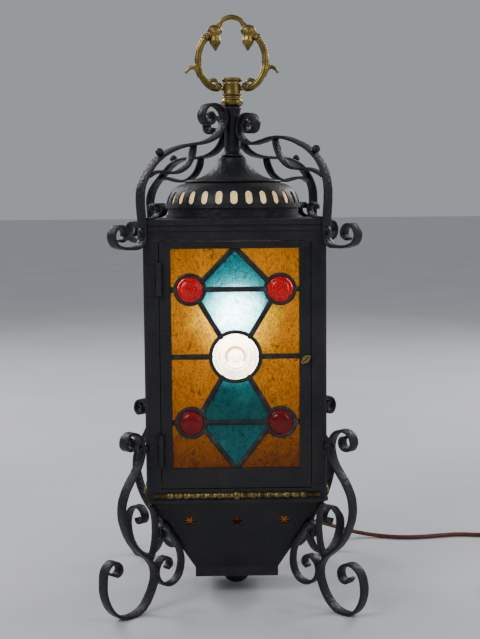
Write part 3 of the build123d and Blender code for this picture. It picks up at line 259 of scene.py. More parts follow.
def iron_material(name, hammer_scale, hammer_depth, bare=(0.085, 0.062, 0.046)):
    """Wrought iron: blue-black wax over hammer marks, browner where it is thin and bright on rubbed edges."""
    made, tree = new_material(name)
    where = place(tree)
    broad = cloud(tree, where, 28, 5, 0.6)
    fine = cloud(tree, where, 420, 6, 0.65)
    dents = node(tree, "ShaderNodeTexVoronoi", Vector=where, Scale=hammer_scale)
    dents.feature = "SMOOTH_F1"
    wax = ramp(
        tree, broad,
        [(0.30, (0.010, 0.011, 0.015)), (0.55, (0.018, 0.018, 0.022)), (0.78, (0.034, 0.028, 0.028))],
    )
    speckle = ramp(tree, fine, [(0.46, 0.0), (0.72, 1.0)])
    colour = blend(tree, speckle, wax, (0.026, 0.025, 0.028))
    rubbed = blend(tree, cloud(tree, where, 60, 4, 0.7), (0, 0, 0), (1, 1, 1))
    edge = blend(tree, 1.0, worn_edges(tree), ramp(tree, rubbed, [(0.38, 0.0), (0.66, 0.75)]), "MULTIPLY")
    colour = blend(tree, edge, colour, bare)
    rough = ramp(tree, broad, [(0.25, 0.36), (0.75, 0.62)])
    height = bump(tree, dents.outputs["Distance"], 0.55, hammer_depth)
    height = bump(tree, fine, 0.35, 0.00025, height)
    paint(tree, Base_Color=colour, Roughness=rough, Normal=height, Metallic=0.55)
    return made


def brass_material(name, bright, dark):
    """Old brass: lacquer gone, brown-green in patches and rubbed bright on what stands out."""
    made, tree = new_material(name)
    where = place(tree)
    broad = cloud(tree, where, 70, 5, 0.62)
    fine = cloud(tree, where, 700, 5, 0.6)
    patina = ramp(tree, broad, [(0.34, dark), (0.62, bright)])
    colour = blend(tree, ramp(tree, fine, [(0.42, 0.35), (0.62, 0.0)]), patina, (0.06, 0.055, 0.02))
    colour = blend(tree, worn_edges(tree, 0.0016), colour, (0.72, 0.52, 0.22))
    rough = ramp(tree, broad, [(0.3, 0.50), (0.7, 0.27)])
    height = bump(tree, fine, 0.3, 0.0002)
    height = bump(tree, broad, 0.25, 0.0008, height)
    paint(tree, Base_Color=colour, Roughness=rough, Normal=height, Metallic=0.92)
    return made


def lead_material():
    """Blackened lead with soft grey where it was rubbed."""
    made, tree = new_material("lead_came")
    where = place(tree)
    broad = cloud(tree, where, 120, 5, 0.6)
    fine = cloud(tree, where, 900, 4, 0.6)
    colour = ramp(
        tree, broad,
        [(0.32, (0.010, 0.010, 0.012)), (0.6, (0.030, 0.030, 0.033)), (0.8, (0.10, 0.10, 0.105))],
    )
    rough = ramp(tree, fine, [(0.3, 0.45), (0.7, 0.68)])
    height = bump(tree, broad, 0.4, 0.0006)
    height = bump(tree, fine, 0.4, 0.0002, height)
    paint(tree, Base_Color=colour, Roughness=rough, Normal=height, Metallic=0.45)
    return made


# The centre of the panes' painted glow, and the distances (in metres) over which it fades.
PAINTED_GLOW_FROM = (0, 0, 0.303)
PAINTED_GLOW_NEAR, PAINTED_GLOW_FAR = 0.080, 0.180


def painted_lamp_glow(tree, stops, wobble):
    """The lamp's light painted on a pane as a glow colour, one for each distance (in metres) from the lamp's
    middle.
    """
    where = place(tree)
    away = maths(tree, "ShaderNodeVectorMath", "DISTANCE", where, PAINTED_GLOW_FROM)
    patches = cloud(tree, where, 34, 5, 0.6, 0.8)
    shift = node(tree, "ShaderNodeMapRange", Value=patches, To_Min=-wobble, To_Max=wobble)
    total = maths(tree, "ShaderNodeMath", "ADD", away, shift.outputs[0])
    share = node(tree, "ShaderNodeMapRange", Value=total, From_Min=PAINTED_GLOW_NEAR, From_Max=PAINTED_GLOW_FAR)
    span = PAINTED_GLOW_FAR - PAINTED_GLOW_NEAR
    return ramp(tree, share.outputs[0], [((at - PAINTED_GLOW_NEAR) / span, colour) for at, colour in stops])


def painted_glow_glass(
    name, pale, mid, deep, glow, power, ripple,
    stretch=(1, 1, 1), spread=0.55, rough=0.16, wobble=0.006,
):
    """Coloured glass with the lamp behind it: streaks, crinkles and seeds, and the lamp's glow painted in as
    emission, with painted highlights along the crinkles.
    """
    made, tree = new_material(name)
    where = place(tree, stretch)
    streak = cloud(tree, where, 40, 6, 0.62, 1.2)
    swirl = cloud(tree, where, 88, 6, 0.60, 3.2)
    grain = cloud(tree, where, 620, 4, 0.62, 0.6)
    bubbles = node(tree, "ShaderNodeTexVoronoi", Vector=place(tree), Scale=240)
    colour = ramp(tree, streak, [(0.28, deep), (0.50, mid), (0.74, pale)])
    # The crinkle is the glass's own texture. Its thin bright rims also make painted highlights, because the
    # mottle multiplies the painted glow.
    crinkle = ramp(
        tree, swirl,
        [(0.34, 0.14), (0.45, 0.58), (0.484, 0.62), (0.500, 1.0), (0.515, 0.52), (0.58, 0.30), (0.70, 0.85)],
    )
    speckle = ramp(tree, grain, [(0.36, 0.84), (0.64, 1.0)])
    mottle = blend(tree, 1.0, crinkle, speckle, "MULTIPLY")
    pits = ramp(tree, bubbles.outputs["Distance"], [(0.04, 1.0), (0.16, 0.0)])
    height = bump(tree, swirl, 0.7, ripple)
    height = bump(tree, streak, 0.7, ripple * 2.0, height)
    height = bump(tree, grain, 0.35, 0.0002, height)
    height = bump(tree, pits, 0.4, 0.0003, height)
    colour = blend(tree, 0.7, colour, mottle, "MULTIPLY")
    # Painted light: the lamp's glow, set by distance from the lamp and crinkled by the mottle, is painted
    # into the glass's emission.
    light = blend(tree, 1.0, painted_lamp_glow(tree, glow, wobble), mottle, "MULTIPLY")
    clear = node(
        tree, "ShaderNodeBsdfPrincipled", Base_Color=colour, Normal=height, Roughness=rough, IOR=1.5,
        Transmission_Weight=1.0, Emission_Color=light, Emission_Strength=power,
    )
    milk = node(tree, "ShaderNodeBsdfTranslucent", Color=colour, Normal=height)
    mixed = node(tree, "ShaderNodeMixShader", Fac=spread)
    tree.links.new(clear.outputs[0], mixed.inputs[1])
    tree.links.new(milk.outputs[0], mixed.inputs[2])
    cover(tree, mixed)
    return made


def moulded_plastic(name, dark, pale, rough=0.34, coat=0.3):
    """Moulded plastic: faint flow marks and fine grain."""
    made, tree = new_material(name)
    where = place(tree)
    flow = cloud(tree, where, 55, 4, 0.5, 1.5)
    grain = cloud(tree, where, 1500, 3, 0.5)
    colour = ramp(tree, flow, [(0.35, dark), (0.70, pale)])
    gloss = ramp(tree, grain, [(0.3, rough), (0.7, rough + 0.14)])
    height = bump(tree, grain, 0.25, 0.0001)
    paint(tree, Base_Color=colour, Roughness=gloss, Normal=height, Coat_Weight=coat)
    return made


def plated_metal(name, dark, pale, low, high):
    """Plated metal with fine turning marks and a cloudy gloss."""
    made, tree = new_material(name)
    lines = cloud(tree, place(tree, (1, 1, 30)), 90, 4, 0.6)
    haze = cloud(tree, place(tree), 80, 4, 0.6)
    colour = ramp(tree, haze, [(0.3, dark), (0.7, pale)])
    gloss = ramp(tree, lines, [(0.3, low), (0.7, high)])
    height = bump(tree, lines, 0.2, 0.0002)
    paint(tree, Base_Color=colour, Roughness=gloss, Normal=height, Metallic=1.0)
    return made


LAMP_POWER = 46.0


def lamp_material():
    """The lit bulb's frosted glass: warm white, brightest at the globe's middle."""
    made, tree = new_material("lit_bulb")
    where = place(tree)
    height = node(tree, "ShaderNodeSeparateXYZ", Vector=where).outputs["Z"]
    frost = cloud(tree, where, 300, 4, 0.6)
    glow = node(
        tree, "ShaderNodeMapRange", Value=height, From_Min=(CAP_HIGH + 3) * MM, From_Max=BULB_Z * MM,
        To_Min=0.25, To_Max=1.0,
    )
    tint = ramp(tree, frost, [(0.3, (1.0, 0.78, 0.50)), (0.7, (1.0, 0.84, 0.60))])
    power = maths(tree, "ShaderNodeMath", "MULTIPLY", glow.outputs[0], LAMP_POWER)
    cover(tree, node(tree, "ShaderNodeEmission", Color=tint, Strength=power))
    return made


def painted_glow_lining_material():
    """Scorched cream card inside the roof, with the lamp's light on it painted in as a glow by its own
    emission.
    """
    made, tree = new_material("roof_lining")
    where = place(tree)
    stain = cloud(tree, where, 60, 5, 0.6, 0.6)
    fibre = cloud(tree, place(tree, (1, 1, 0.2)), 700, 4, 0.6)
    colour = ramp(
        tree, stain, [(0.30, (0.80, 0.50, 0.20)), (0.55, (0.92, 0.68, 0.36)), (0.75, (0.98, 0.80, 0.50))]
    )
    height = bump(tree, fibre, 0.4, 0.0003)
    # Painted light: the card's colour is also its emission.
    paint(
        tree, Base_Color=colour, Normal=height, Roughness=0.8, Emission_Color=colour, Emission_Strength=1.1
    )
    return made


PAINTED_GLOW_LINING = painted_glow_lining_material()
IRON = iron_material("black_iron", 240, 0.0009)
STRAP_IRON = iron_material("strap_iron", 330, 0.0011, (0.10, 0.075, 0.055))
BRASS = brass_material("aged_brass", (0.33, 0.225, 0.062), (0.10, 0.070, 0.022))
BAND_BRASS = brass_material("band_brass", (0.21, 0.145, 0.048), (0.05, 0.037, 0.016))
LEAD = lead_material()
# Amber glass. Its glow stops are painted lamp light: a bright yellow patch nearest the lamp, fading to dark
# brown further off.
AMBER = painted_glow_glass(
    "amber_glass", (0.44, 0.21, 0.020), (0.35, 0.15, 0.009), (0.16, 0.055, 0.003),
    [
        (0.0885, (0.66, 0.50, 0.0)), (0.0945, (0.50, 0.35, 0.0)), (0.100, (0.26, 0.125, 0.0)),
        (0.125, (0.19, 0.078, 0.0)), (0.150, (0.14, 0.050, 0.0)), (0.180, (0.06, 0.015, 0.0)),
    ],
    4.0, 0.0009, (1, 1, 0.6), wobble=0.009,
)
# Amber for the rosette buttons, with a faint painted glow from the lamp.
ROSETTE_AMBER = painted_glow_glass(
    "rosette_amber", (0.44, 0.21, 0.020), (0.35, 0.15, 0.009), (0.16, 0.055, 0.003),
    [(0.120, (0.19, 0.062, 0.002)), (0.160, (0.15, 0.045, 0.001))],
    3.0, 0.0003,
)
# Teal glass. Its glow stops are painted lamp light: a blown-out white hot spot nearest the lamp, a painted
# bright band further off, and dark teal beyond.
TEAL = painted_glow_glass(
    "teal_glass", (0.03, 0.30, 0.33), (0.006, 0.20, 0.24), (0.0, 0.10, 0.13),
    [
        (0.0866, (4.0, 4.0, 4.0)), (0.0894, (0.60, 0.90, 0.94)), (0.0925, (0.03, 0.135, 0.150)),
        (0.0975, (0.002, 0.050, 0.060)), (0.104, (0.001, 0.036, 0.043)), (0.1085, (0.008, 0.085, 0.092)),
        (0.116, (0.0, 0.014, 0.017)), (0.130, (0.0, 0.009, 0.011)), (0.155, (0.001, 0.024, 0.026)),
    ],
    9.0, 0.0006, wobble=0.003,
)
# Ruby glass, with a painted glow: bright red near the lamp, deep red far off.
RUBY = painted_glow_glass(
    "ruby_glass", (0.48, 0.012, 0.018), (0.36, 0.005, 0.010), (0.16, 0.001, 0.004),
    [(0.095, (0.42, 0.006, 0.012)), (0.115, (0.20, 0.002, 0.004)), (0.150, (0.055, 0.0, 0.001))],
    1.5, 0.0002, spread=0.35, rough=0.03,
)
# Clear glass, with a painted glow: warm white near the lamp, browner far off.
CLEAR = painted_glow_glass(
    "clear_glass", (1.0, 0.97, 0.90), (0.97, 0.93, 0.85), (0.88, 0.84, 0.76),
    [(0.085, (1.0, 0.95, 0.84)), (0.110, (0.95, 0.86, 0.70)), (0.140, (0.60, 0.50, 0.36))],
    7.0, 0.0003, spread=0.35, rough=0.05,
)
# A dimmer tan glass for an arc of each roundel's knob rim: a painted shaded arc.
KNOB_SHADE_ARC = painted_glow_glass(
    "knob_shade_arc", (0.62, 0.45, 0.25), (0.55, 0.39, 0.21), (0.44, 0.30, 0.16),
    [(0.085, (0.52, 0.36, 0.18)), (0.110, (0.46, 0.31, 0.15)), (0.140, (0.30, 0.20, 0.10))],
    1.0, 0.0003, spread=0.5, rough=0.08,
)
BROWN_PLASTIC = moulded_plastic("brown_moulding", (0.020, 0.008, 0.005), (0.038, 0.016, 0.010))
SHEATH_LOOK = moulded_plastic("cord_sheath", (0.090, 0.020, 0.013), (0.17, 0.045, 0.026), 0.42, 0.1)
STEEL = plated_metal("zinc_plate", (0.36, 0.36, 0.35), (0.56, 0.55, 0.52), 0.28, 0.45)
NICKEL = plated_metal("nickel_plate", (0.52, 0.50, 0.46), (0.72, 0.70, 0.66), 0.18, 0.34)
LAMP = lamp_material()


# ---------------------------------------------------------------- mesh helpers


def mesh_object(name, verts, faces, look, body):
    """A mesh piece from millimetre points, with a look, riding on a body."""
    mesh = bpy.data.meshes.new(name)
    mesh.from_pydata([Vector(v) * MM for v in verts], [], faces)
    work = bmesh.new()
    work.from_mesh(mesh)
    bmesh.ops.recalc_face_normals(work, faces=work.faces)
    work.to_mesh(mesh)
    work.free()
    mesh.materials.append(look)
    for polygon in mesh.polygons:
        polygon.use_smooth = True
    obj = bpy.data.objects.new(name, mesh)
    bpy.context.scene.collection.objects.link(obj)
    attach(obj, body)
    return obj


class Pile:
    """Vertices and faces gathered for one piece."""

    def __init__(self):
        self.verts = []
        self.faces = []

    def grid(self, rows, caps=True):
        """Rows of points, each row a ring, skinned in order; the ends are closed with a fan."""
        start = len(self.verts)
        wide = len(rows[0])
        for row in rows:
            self.verts += [tuple(p) for p in row]
        for r in range(len(rows) - 1):
            for c in range(wide):
                a = start + r * wide + c
                b = start + r * wide + (c + 1) % wide
                self.faces.append((a, b, b + wide, a + wide))
        if caps:
            for r in (0, len(rows) - 1):
                base = start + r * wide
                middle = sum((Vector(p) for p in rows[r]), Vector()) / wide
                self.verts.append(tuple(middle))
                tip = len(self.verts) - 1
                for c in range(wide):
                    self.faces.append((base + c, base + (c + 1) % wide, tip))

    def lathe(self, profile, origin=(0, 0, 0), axis=(0, 0, 1), steps=48, wave=None):
        """Turns (radius, height) points about an axis; wave(angle, height) scales the radius."""
        up = Vector(axis).normalized()
        side = up.orthogonal().normalized()
        other = up.cross(side)
        rows = []
        for radius, height in profile:
            ring = []
            for k in range(steps):
                angle = 2 * math.pi * k / steps
                r = max(radius, 0.01) * (wave(angle, height) if wave else 1)
                spot = Vector(origin) + up * height + side * (r * math.cos(angle))
                ring.append(spot + other * (r * math.sin(angle)))
            rows.append(ring)
        self.grid(rows)

    def tube(self, line, radius, steps, squash):
        """A round bar along a line in an upright plane across y; radius(share along it) is its radius."""
        rows = []
        total = len(line) - 1
        for k, (point, side, other) in enumerate(carried_frames(line, (0, 1, 0))):
            r = radius(k / total)
            ring = []
            for s in range(steps):
                angle = 2 * math.pi * s / steps
                ring.append(point + side * (r * math.cos(angle)) + other * (r * squash * math.sin(angle)))
            rows.append(ring)
        self.grid(rows)

    def ball(self, centre, radius, squash=(1, 1, 1), steps=20, turn=None):
        """An ellipsoid."""
        rows = []
        for k in range(1, steps // 2):
            polar = math.pi * k / (steps // 2)
            ring = []
            for s in range(steps):
                angle = 2 * math.pi * s / steps
                p = Vector(
                    (
                        math.sin(polar) * math.cos(angle) * squash[0],
                        math.sin(polar) * math.sin(angle) * squash[1],
                        math.cos(polar) * squash[2],
                    )
                )
                if turn:
                    p = turn @ p
                ring.append(Vector(centre) + p * radius)
            rows.append(ring)
        self.grid(rows)

    def piece(self, name, look, body="lantern"):
        """The pile as a piece of its own."""
        return mesh_object(name, self.verts, self.faces, look, body)

    def stand_in(self, name, look, replaced, body="lantern"):
        """The pile as a piece with this look that takes the place of a CAD node, which it hides."""
        made = self.piece(name, look, body)
        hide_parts(replaced)
        return made


def carried_frames(line, flat):
    """For each point of a line: the point and two directions across it, the first as near flat as can be."""
    points = [Vector(p) for p in line]
    frames = []
    for k, point in enumerate(points):
        ahead = points[min(k + 1, len(points) - 1)] - points[max(k - 1, 0)]
        ahead.normalize()
        side = Vector(flat)
        side = (side - ahead * side.dot(ahead)).normalized()
        frames.append((point, side, ahead.cross(side).normalized()))
    return frames


def smooth_line(points, fine):
    """A smooth line through points (tuples of any size), sampled about every fine millimetres."""
    spots = [Vector(p) for p in points]
    ends = [2 * spots[0] - spots[1]] + spots + [2 * spots[-1] - spots[-2]]
    line = []
    for a, b, c, d in zip(ends, ends[1:], ends[2:], ends[3:]):
        count = max(2, math.ceil((c - b).length / fine))
        t0 = 0.0
        t1 = t0 + max((b - a).length, 1e-6) ** 0.5
        t2 = t1 + max((c - b).length, 1e-6) ** 0.5
        t3 = t2 + max((d - c).length, 1e-6) ** 0.5
        for k in range(count):
            t = t1 + (t2 - t1) * k / count
            a1 = a * ((t1 - t) / (t1 - t0)) + b * ((t - t0) / (t1 - t0))
            a2 = b * ((t2 - t) / (t2 - t1)) + c * ((t - t1) / (t2 - t1))
            a3 = c * ((t3 - t) / (t3 - t2)) + d * ((t - t2) / (t3 - t2))
            b1 = a1 * ((t2 - t) / (t2 - t0)) + a2 * ((t - t0) / (t2 - t0))
            b2 = a2 * ((t3 - t) / (t3 - t1)) + a3 * ((t - t1) / (t3 - t1))
            line.append(b1 * ((t2 - t) / (t2 - t1)) + b2 * ((t - t1) / (t2 - t1)))
    line.append(spots[-1])
    return line


def strap_section(wide, thick):
    """A strap's section, its long edges rounded over, as points (across, through)."""
    steps = 3
    round_off = thick * 0.36
    points = []
    for sx, sy, start in ((1, 1, 0), (-1, 1, 90), (-1, -1, 180), (1, -1, 270)):
        for k in range(steps + 1):
            angle = math.radians(start + 90 * k / steps)
            points.append(
                (
                    sx * (wide / 2 - round_off) + round_off * math.cos(angle),
                    sy * (thick / 2 - round_off) + round_off * math.sin(angle),
                )
            )
    return points


STRAP_TAPER = 0.12
HAMMER_DEPTH, EDGE_SWAY = 0.22, 0.3


def add_strap(pile, points, turn, wide, thick, seed):
    """A hammered flat strap along a line of (r, z) points in the upright plane at this angle."""
    angle = math.radians(turn)
    out = Vector((math.cos(angle), math.sin(angle), 0))
    across = Vector((math.sin(angle), -math.cos(angle), 0))
    line = [out * p.x + Vector((0, 0, p.y)) for p in smooth_line(points, 1.6)]
    section = strap_section(wide, thick)
    total = len(line) - 1
    rows = []
    for k, (point, side, other) in enumerate(carried_frames(line, across)):
        share = min(k, total - k) / 5
        end = 1 - STRAP_TAPER * max(0.0, 1 - share)
        row = []
        for x, y in section:
            spot = point + side * (x * end) + other * y
            mark = noise.noise(spot * 0.16 + Vector((seed, 0, 0)))
            edge = noise.noise(spot * 0.07 + Vector((0, seed, 3)))
            dent = HAMMER_DEPTH * mark * (1 if y > 0 else -1)
            sway = EDGE_SWAY * edge * (1 if x > 0 else -1)
            spot = spot + other * dent + side * sway
            spot.z = max(spot.z, 0.0)
            row.append(spot)
        rows.append(row)
    pile.grid(rows)


# ---------------------------------------------------------------- straps

STRAP_WIDE = 12.0
STRAP_THICK = 3.0
RIB_FOOT = [
    (157.0, 377.0), (152.3, 379.8), (151.6, 385.4), (156.6, 391.0), (164.0, 389.8), (168.3, 382.0),
    (164.8, 373.4), (156.0, 370.0), (145.0, 369.4), (134.8, 370.6), (129.6, 376.6), (128.85, 386.0),
    (129.2, 396.0), (130.0, 405.0), (130.8, 416.0),
]
RIB_TOPS = {
    "front_left": [
        (129.6, 428.0), (123.4, 440.0), (114.0, 451.2), (102.6, 459.6), (88.0, 466.4), (72.0, 470.9),
        (56.0, 473.3), (40.0, 476.0), (26.0, 481.6), (15.6, 491.4), (12.3, 501.4), (17.6, 510.4),
        (28.6, 514.6), (40.0, 511.6), (45.0, 503.2), (40.6, 495.6), (32.6, 496.0), (30.0, 502.0),
        (33.6, 506.4),
    ],
    "front_right": [
        (130.6, 428.0), (127.4, 441.4), (121.0, 453.0), (112.2, 462.0), (100.4, 469.4), (86.4, 475.2),
        (71.0, 479.0), (56.0, 478.8), (43.0, 476.0), (29.0, 474.2), (17.6, 477.6), (11.4, 486.4),
        (12.2, 496.8), (19.2, 504.0), (28.4, 504.0), (34.6, 496.4), (31.4, 488.0), (23.0, 486.6),
        (18.6, 492.4), (21.6, 498.0),
    ],
    "back_right": [
        (129.8, 427.0), (124.8, 438.0), (116.6, 447.2), (107.0, 454.0), (95.0, 458.8), (80.0, 461.6),
        (60.0, 461.8), (42.0, 462.8), (27.0, 466.6), (16.0, 475.2), (11.4, 487.0), (12.6, 498.6),
        (19.6, 506.0), (28.0, 505.4), (32.6, 498.0), (29.6, 490.6), (22.8, 489.4), (19.0, 494.6),
    ],
    "back_left": [
        (127.6, 426.0), (120.6, 434.6), (110.4, 443.0), (100.0, 451.2), (89.0, 457.6), (75.0, 461.2),
        (58.0, 461.8), (42.0, 462.8), (27.6, 466.8), (16.4, 475.6), (11.4, 486.0), (13.4, 496.6),
        (21.0, 503.6), (30.0, 504.0), (37.6, 498.4), (37.0, 490.6), (30.6, 487.6), (25.6, 492.0),
    ],
}
BRANCHES = {
    "front_left": [
        (121.0, 439.4), (112.4, 443.4), (101.4, 444.8), (89.6, 443.6), (77.6, 445.4), (67.4, 451.0),
        (60.4, 460.4), (57.0, 471.8),
    ],
    "front_right": [
        (125.8, 438.8), (117.0, 443.2), (105.4, 446.4), (93.9, 446.8), (83.7, 448.2), (75.0, 452.6),
        (68.4, 459.6), (63.8, 468.2), (61.0, 477.2),
    ],
    "back_right": [
        (121.8, 436.8), (114.0, 440.0), (104.0, 440.4), (93.0, 438.8), (81.0, 436.9), (70.0, 439.2),
        (61.4, 444.8), (55.6, 452.4), (52.6, 460.4),
    ],
    "back_left": [
        (110.6, 439.8), (103.0, 441.0), (94.0, 439.4), (84.0, 437.6), (73.0, 437.4), (62.4, 440.6),
        (54.8, 446.4), (50.0, 453.6), (47.8, 460.8),
    ],
}
BALLS = {
    "front_left": (104.4, 464.2),
    "front_right": (115.6, 465.8),
    "back_right": (101.6, 461.8),
    "back_left": (91.2, 462.2),
}
LEAF = [
    (124.0, 398.1), (116.0, 398.4), (109.0, 401.6), (107.0, 407.6), (110.6, 412.4), (115.6, 411.0),
    (116.0, 406.4),
]
LEG_CURLS = {
    "front_left": [
        (151.0, 181.4), (146.6, 178.2), (147.2, 172.0), (152.8, 170.0), (157.6, 174.6), (156.4, 181.8),
        (150.0, 186.0), (142.4, 184.2), (137.0, 178.0),
    ],
    "front_right": [
        (155.2, 181.0), (150.0, 179.4), (148.8, 173.6), (152.8, 168.8), (159.6, 168.8), (163.4, 175.2),
        (160.6, 183.2), (152.6, 187.0), (143.4, 185.0), (137.0, 178.2),
    ],
}
LEG_BODY = [
    (134.6, 168.6), (137.0, 157.0), (143.6, 146.0), (150.6, 137.4), (157.4, 127.0), (161.4, 115.0),
    (161.6, 102.0), (158.0, 90.0), (152.6, 79.0), (145.0, 68.6), (136.0, 60.6), (127.2, 53.0), (121.2, 43.6),
    (120.4, 33.6), (123.6, 23.6), (130.0, 13.0), (138.4, 5.2), (148.0, 1.5), (159.0, 1.5),
]
FOOT_CURLS = {
    "front_left": [
        (170.6, 6.0), (180.4, 16.0), (186.4, 30.0), (187.2, 43.6), (185.0, 55.0), (177.6, 61.4),
        (169.2, 59.0), (166.6, 52.0), (171.4, 47.4), (177.2, 49.8),
    ],
    "front_right": [
        (166.6, 6.0), (173.2, 15.0), (176.4, 26.0), (175.6, 38.0), (171.0, 47.6), (162.6, 52.6),
        (153.0, 51.0), (147.4, 44.0), (149.6, 36.0), (156.6, 34.0), (160.6, 39.0),
    ],
    "back_right": [
        (166.6, 6.0), (174.6, 15.0), (178.8, 26.6), (177.8, 38.6), (171.0, 48.0), (162.6, 54.6),
        (153.0, 53.4), (147.4, 46.0), (149.6, 38.0), (156.4, 36.0), (160.4, 41.0),
    ],
    "back_left": [
        (167.6, 6.0), (175.2, 15.0), (179.4, 27.0), (179.0, 40.0), (174.0, 51.0), (164.8, 57.6),
        (154.6, 56.6), (148.8, 48.8), (151.2, 40.8), (158.0, 39.4), (161.4, 44.4),
    ],
}
C_SCROLL = [
    (109.6, 80.6), (106.4, 78.2), (107.6, 73.8), (112.4, 73.6), (115.0, 78.6), (113.0, 84.6), (107.4, 86.4),
    (102.0, 81.0), (95.6, 71.8), (87.9, 61.8), (83.6, 51.4), (82.8, 40.4), (86.0, 30.6), (93.2, 24.0),
    (101.8, 22.2), (110.2, 25.2), (116.2, 32.0), (117.4, 41.0), (113.0, 49.0), (106.2, 51.8), (100.4, 48.8),
    (99.4, 43.0), (103.6, 39.6),
]
STAY = [
    (123.9, 108.4), (119.6, 99.0), (118.2, 88.0), (118.6, 75.0), (121.0, 63.0), (125.2, 53.6),
]


def strap_piece(name, jobs, wide, thick, replaced):
    """One piece of several straps; jobs are (points, corner angle)."""
    pile = Pile()
    for k, (points, turn) in enumerate(jobs):
        add_strap(pile, points, turn, wide, thick, turn * 0.37 + k)
    pile.stand_in(name, STRAP_IRON, replaced)


def at_corners(points):
    """The same strap at every corner."""
    return [(points, turn) for turn in CORNERS.values()]


for corner, turn in CORNERS.items():
    curl = LEG_CURLS["front_left" if corner.endswith("left") else "front_right"]
    rib = RIB_FOOT + RIB_TOPS[corner]
    leg = curl + LEG_BODY + FOOT_CURLS[corner]
    strap_piece(f"rib_look_{corner}", [(rib, turn)], STRAP_WIDE, STRAP_THICK, f"crown_rib_{corner}")
    strap_piece(f"leg_look_{corner}", [(leg, turn)], STRAP_WIDE, STRAP_THICK, f"leg_{corner}")
branches = [(BRANCHES[corner], turn) for corner, turn in CORNERS.items()]
strap_piece("branches_look", branches, STRAP_WIDE - 2, STRAP_THICK, "crown_branches")
strap_piece("leaves_look", at_corners(LEAF), 9.0, 2.0, "crown_leaves")
strap_piece("c_scrolls_look", at_corners(C_SCROLL), STRAP_WIDE - 2, STRAP_THICK, "leg_c_scrolls")
strap_piece("stays_look", at_corners(STAY), STRAP_WIDE - 3, STRAP_THICK - 0.5, "leg_stays")


def corner_spot(turn, radius, height):
    """The place this far from the axis, and up, in the upright plane at this angle."""
    angle = math.radians(turn)
    return Vector((radius * math.cos(angle), radius * math.sin(angle), height))


BALL_R = 4.1
balls = Pile()
for corner, turn in CORNERS.items():
    radius, height = BALLS[corner]
    balls.ball(corner_spot(turn, radius, height), BALL_R, (1.03, 0.98, 0.97))
balls.stand_in("balls_look", STRAP_IRON, "rib_balls")

RIVET_SEAT = 127.3
RIVET_Z, RIB_RIVET_Z = 168.6, 385.0
LEG_FACE = 133.05
RIVET_R, RIVET_RISE = 4.3, 2.4
SHANK_R, SHANK_LONG = 4, 5.75
dome = [
    (RIVET_R * math.cos(math.radians(a)), RIVET_RISE * math.sin(math.radians(a)))
    for a in range(0, 91, 15)
]
rivets = Pile()
for turn in CORNERS.values():
    out = corner_spot(turn, 1, 0)
    rivets.lathe([(SHANK_R, 0), (SHANK_R, SHANK_LONG)], corner_spot(turn, RIVET_SEAT, RIVET_Z), out, 24)
    for seat, height in ((LEG_FACE + STRAP_THICK, RIVET_Z), (RIVET_SEAT + STRAP_THICK, RIB_RIVET_Z)):
        rivets.lathe([(2, -1.5), (RIVET_R, -0.4)] + dome, corner_spot(turn, seat, height), out, 24)
rivets.stand_in("rivets_look", STRAP_IRON, "strap_rivets")


# ---------------------------------------------------------------- ring, head, stem, cap and bottom knob

PIVOT_Z = 533.0
RING_SIDE = [
    (13.5, PIVOT_Z), (20.5, 533.8), (28.0, 540.2), (33.4, 550.0), (35.3, 561.5), (33.8, 573.2), (28.0, 583.8),
    (20.5, 590.4), (14.2, 596.3), (9.6, 603.0),
]
RING_TOP = (0.0, 606.4)
KNUCKLE = (17.5, 592.5)
BAR_R, BAR_SLIMMER, SLIM_FROM = 3.85, 1.1, 594
PIN_R, PIN_LONG = 2.5, 10.5
ring_line = smooth_line(
    [(x, 0, z) for x, z in RING_SIDE]
    + [(RING_TOP[0], 0, RING_TOP[1])]
    + [(-x, 0, z) for x, z in reversed(RING_SIDE)],
    0.9,
)


def ring_radius(share):
    """The bar's radius: stout round the loop, slimmer in the arch at the top."""
    spot = ring_line[round(share * (len(ring_line) - 1))]
    slim = min(max((spot.z - SLIM_FROM) / 6, 0), 1)
    return BAR_R - BAR_SLIMMER * slim + 0.12 * math.sin(spot.z * 0.55)


THORN = [(33.0, 545.6), (36.6, 552.0), (40.6, 554.8), (44.6, 553.6), (47.8, 550.0)]
THORN_ROOT = [(35.4, 561.0), (37.4, 557.8), (40.2, 555.4)]
RING_COLLAR = [(25.6, 586.8), (27.4, 584.8), (28.4, 583.2)]
RING_CURL = [(26.0, 537.2), (22.6, 540.6), (18.4, 541.6), (15.8, 539.2), (17.0, 536.6)]
BUD = [
    (6.2, 0.0), (6.4, 2.0), (5.4, 4.4), (4.8, 6.0), (5.6, 8.0), (6.1, 10.4), (5.6, 13.0), (4.2, 15.4),
    (2.6, 17.6), (1.7, 19.4), (1.3, 20.3), (0.1, 20.9),
]


def add_branch(points, side, fine, radius, steps, squash):
    """A small bar of the ring along (x, z) points, on the side that side says."""
    ring.tube(smooth_line([(side * x, 0, z) for x, z in points], fine), radius, steps, squash)


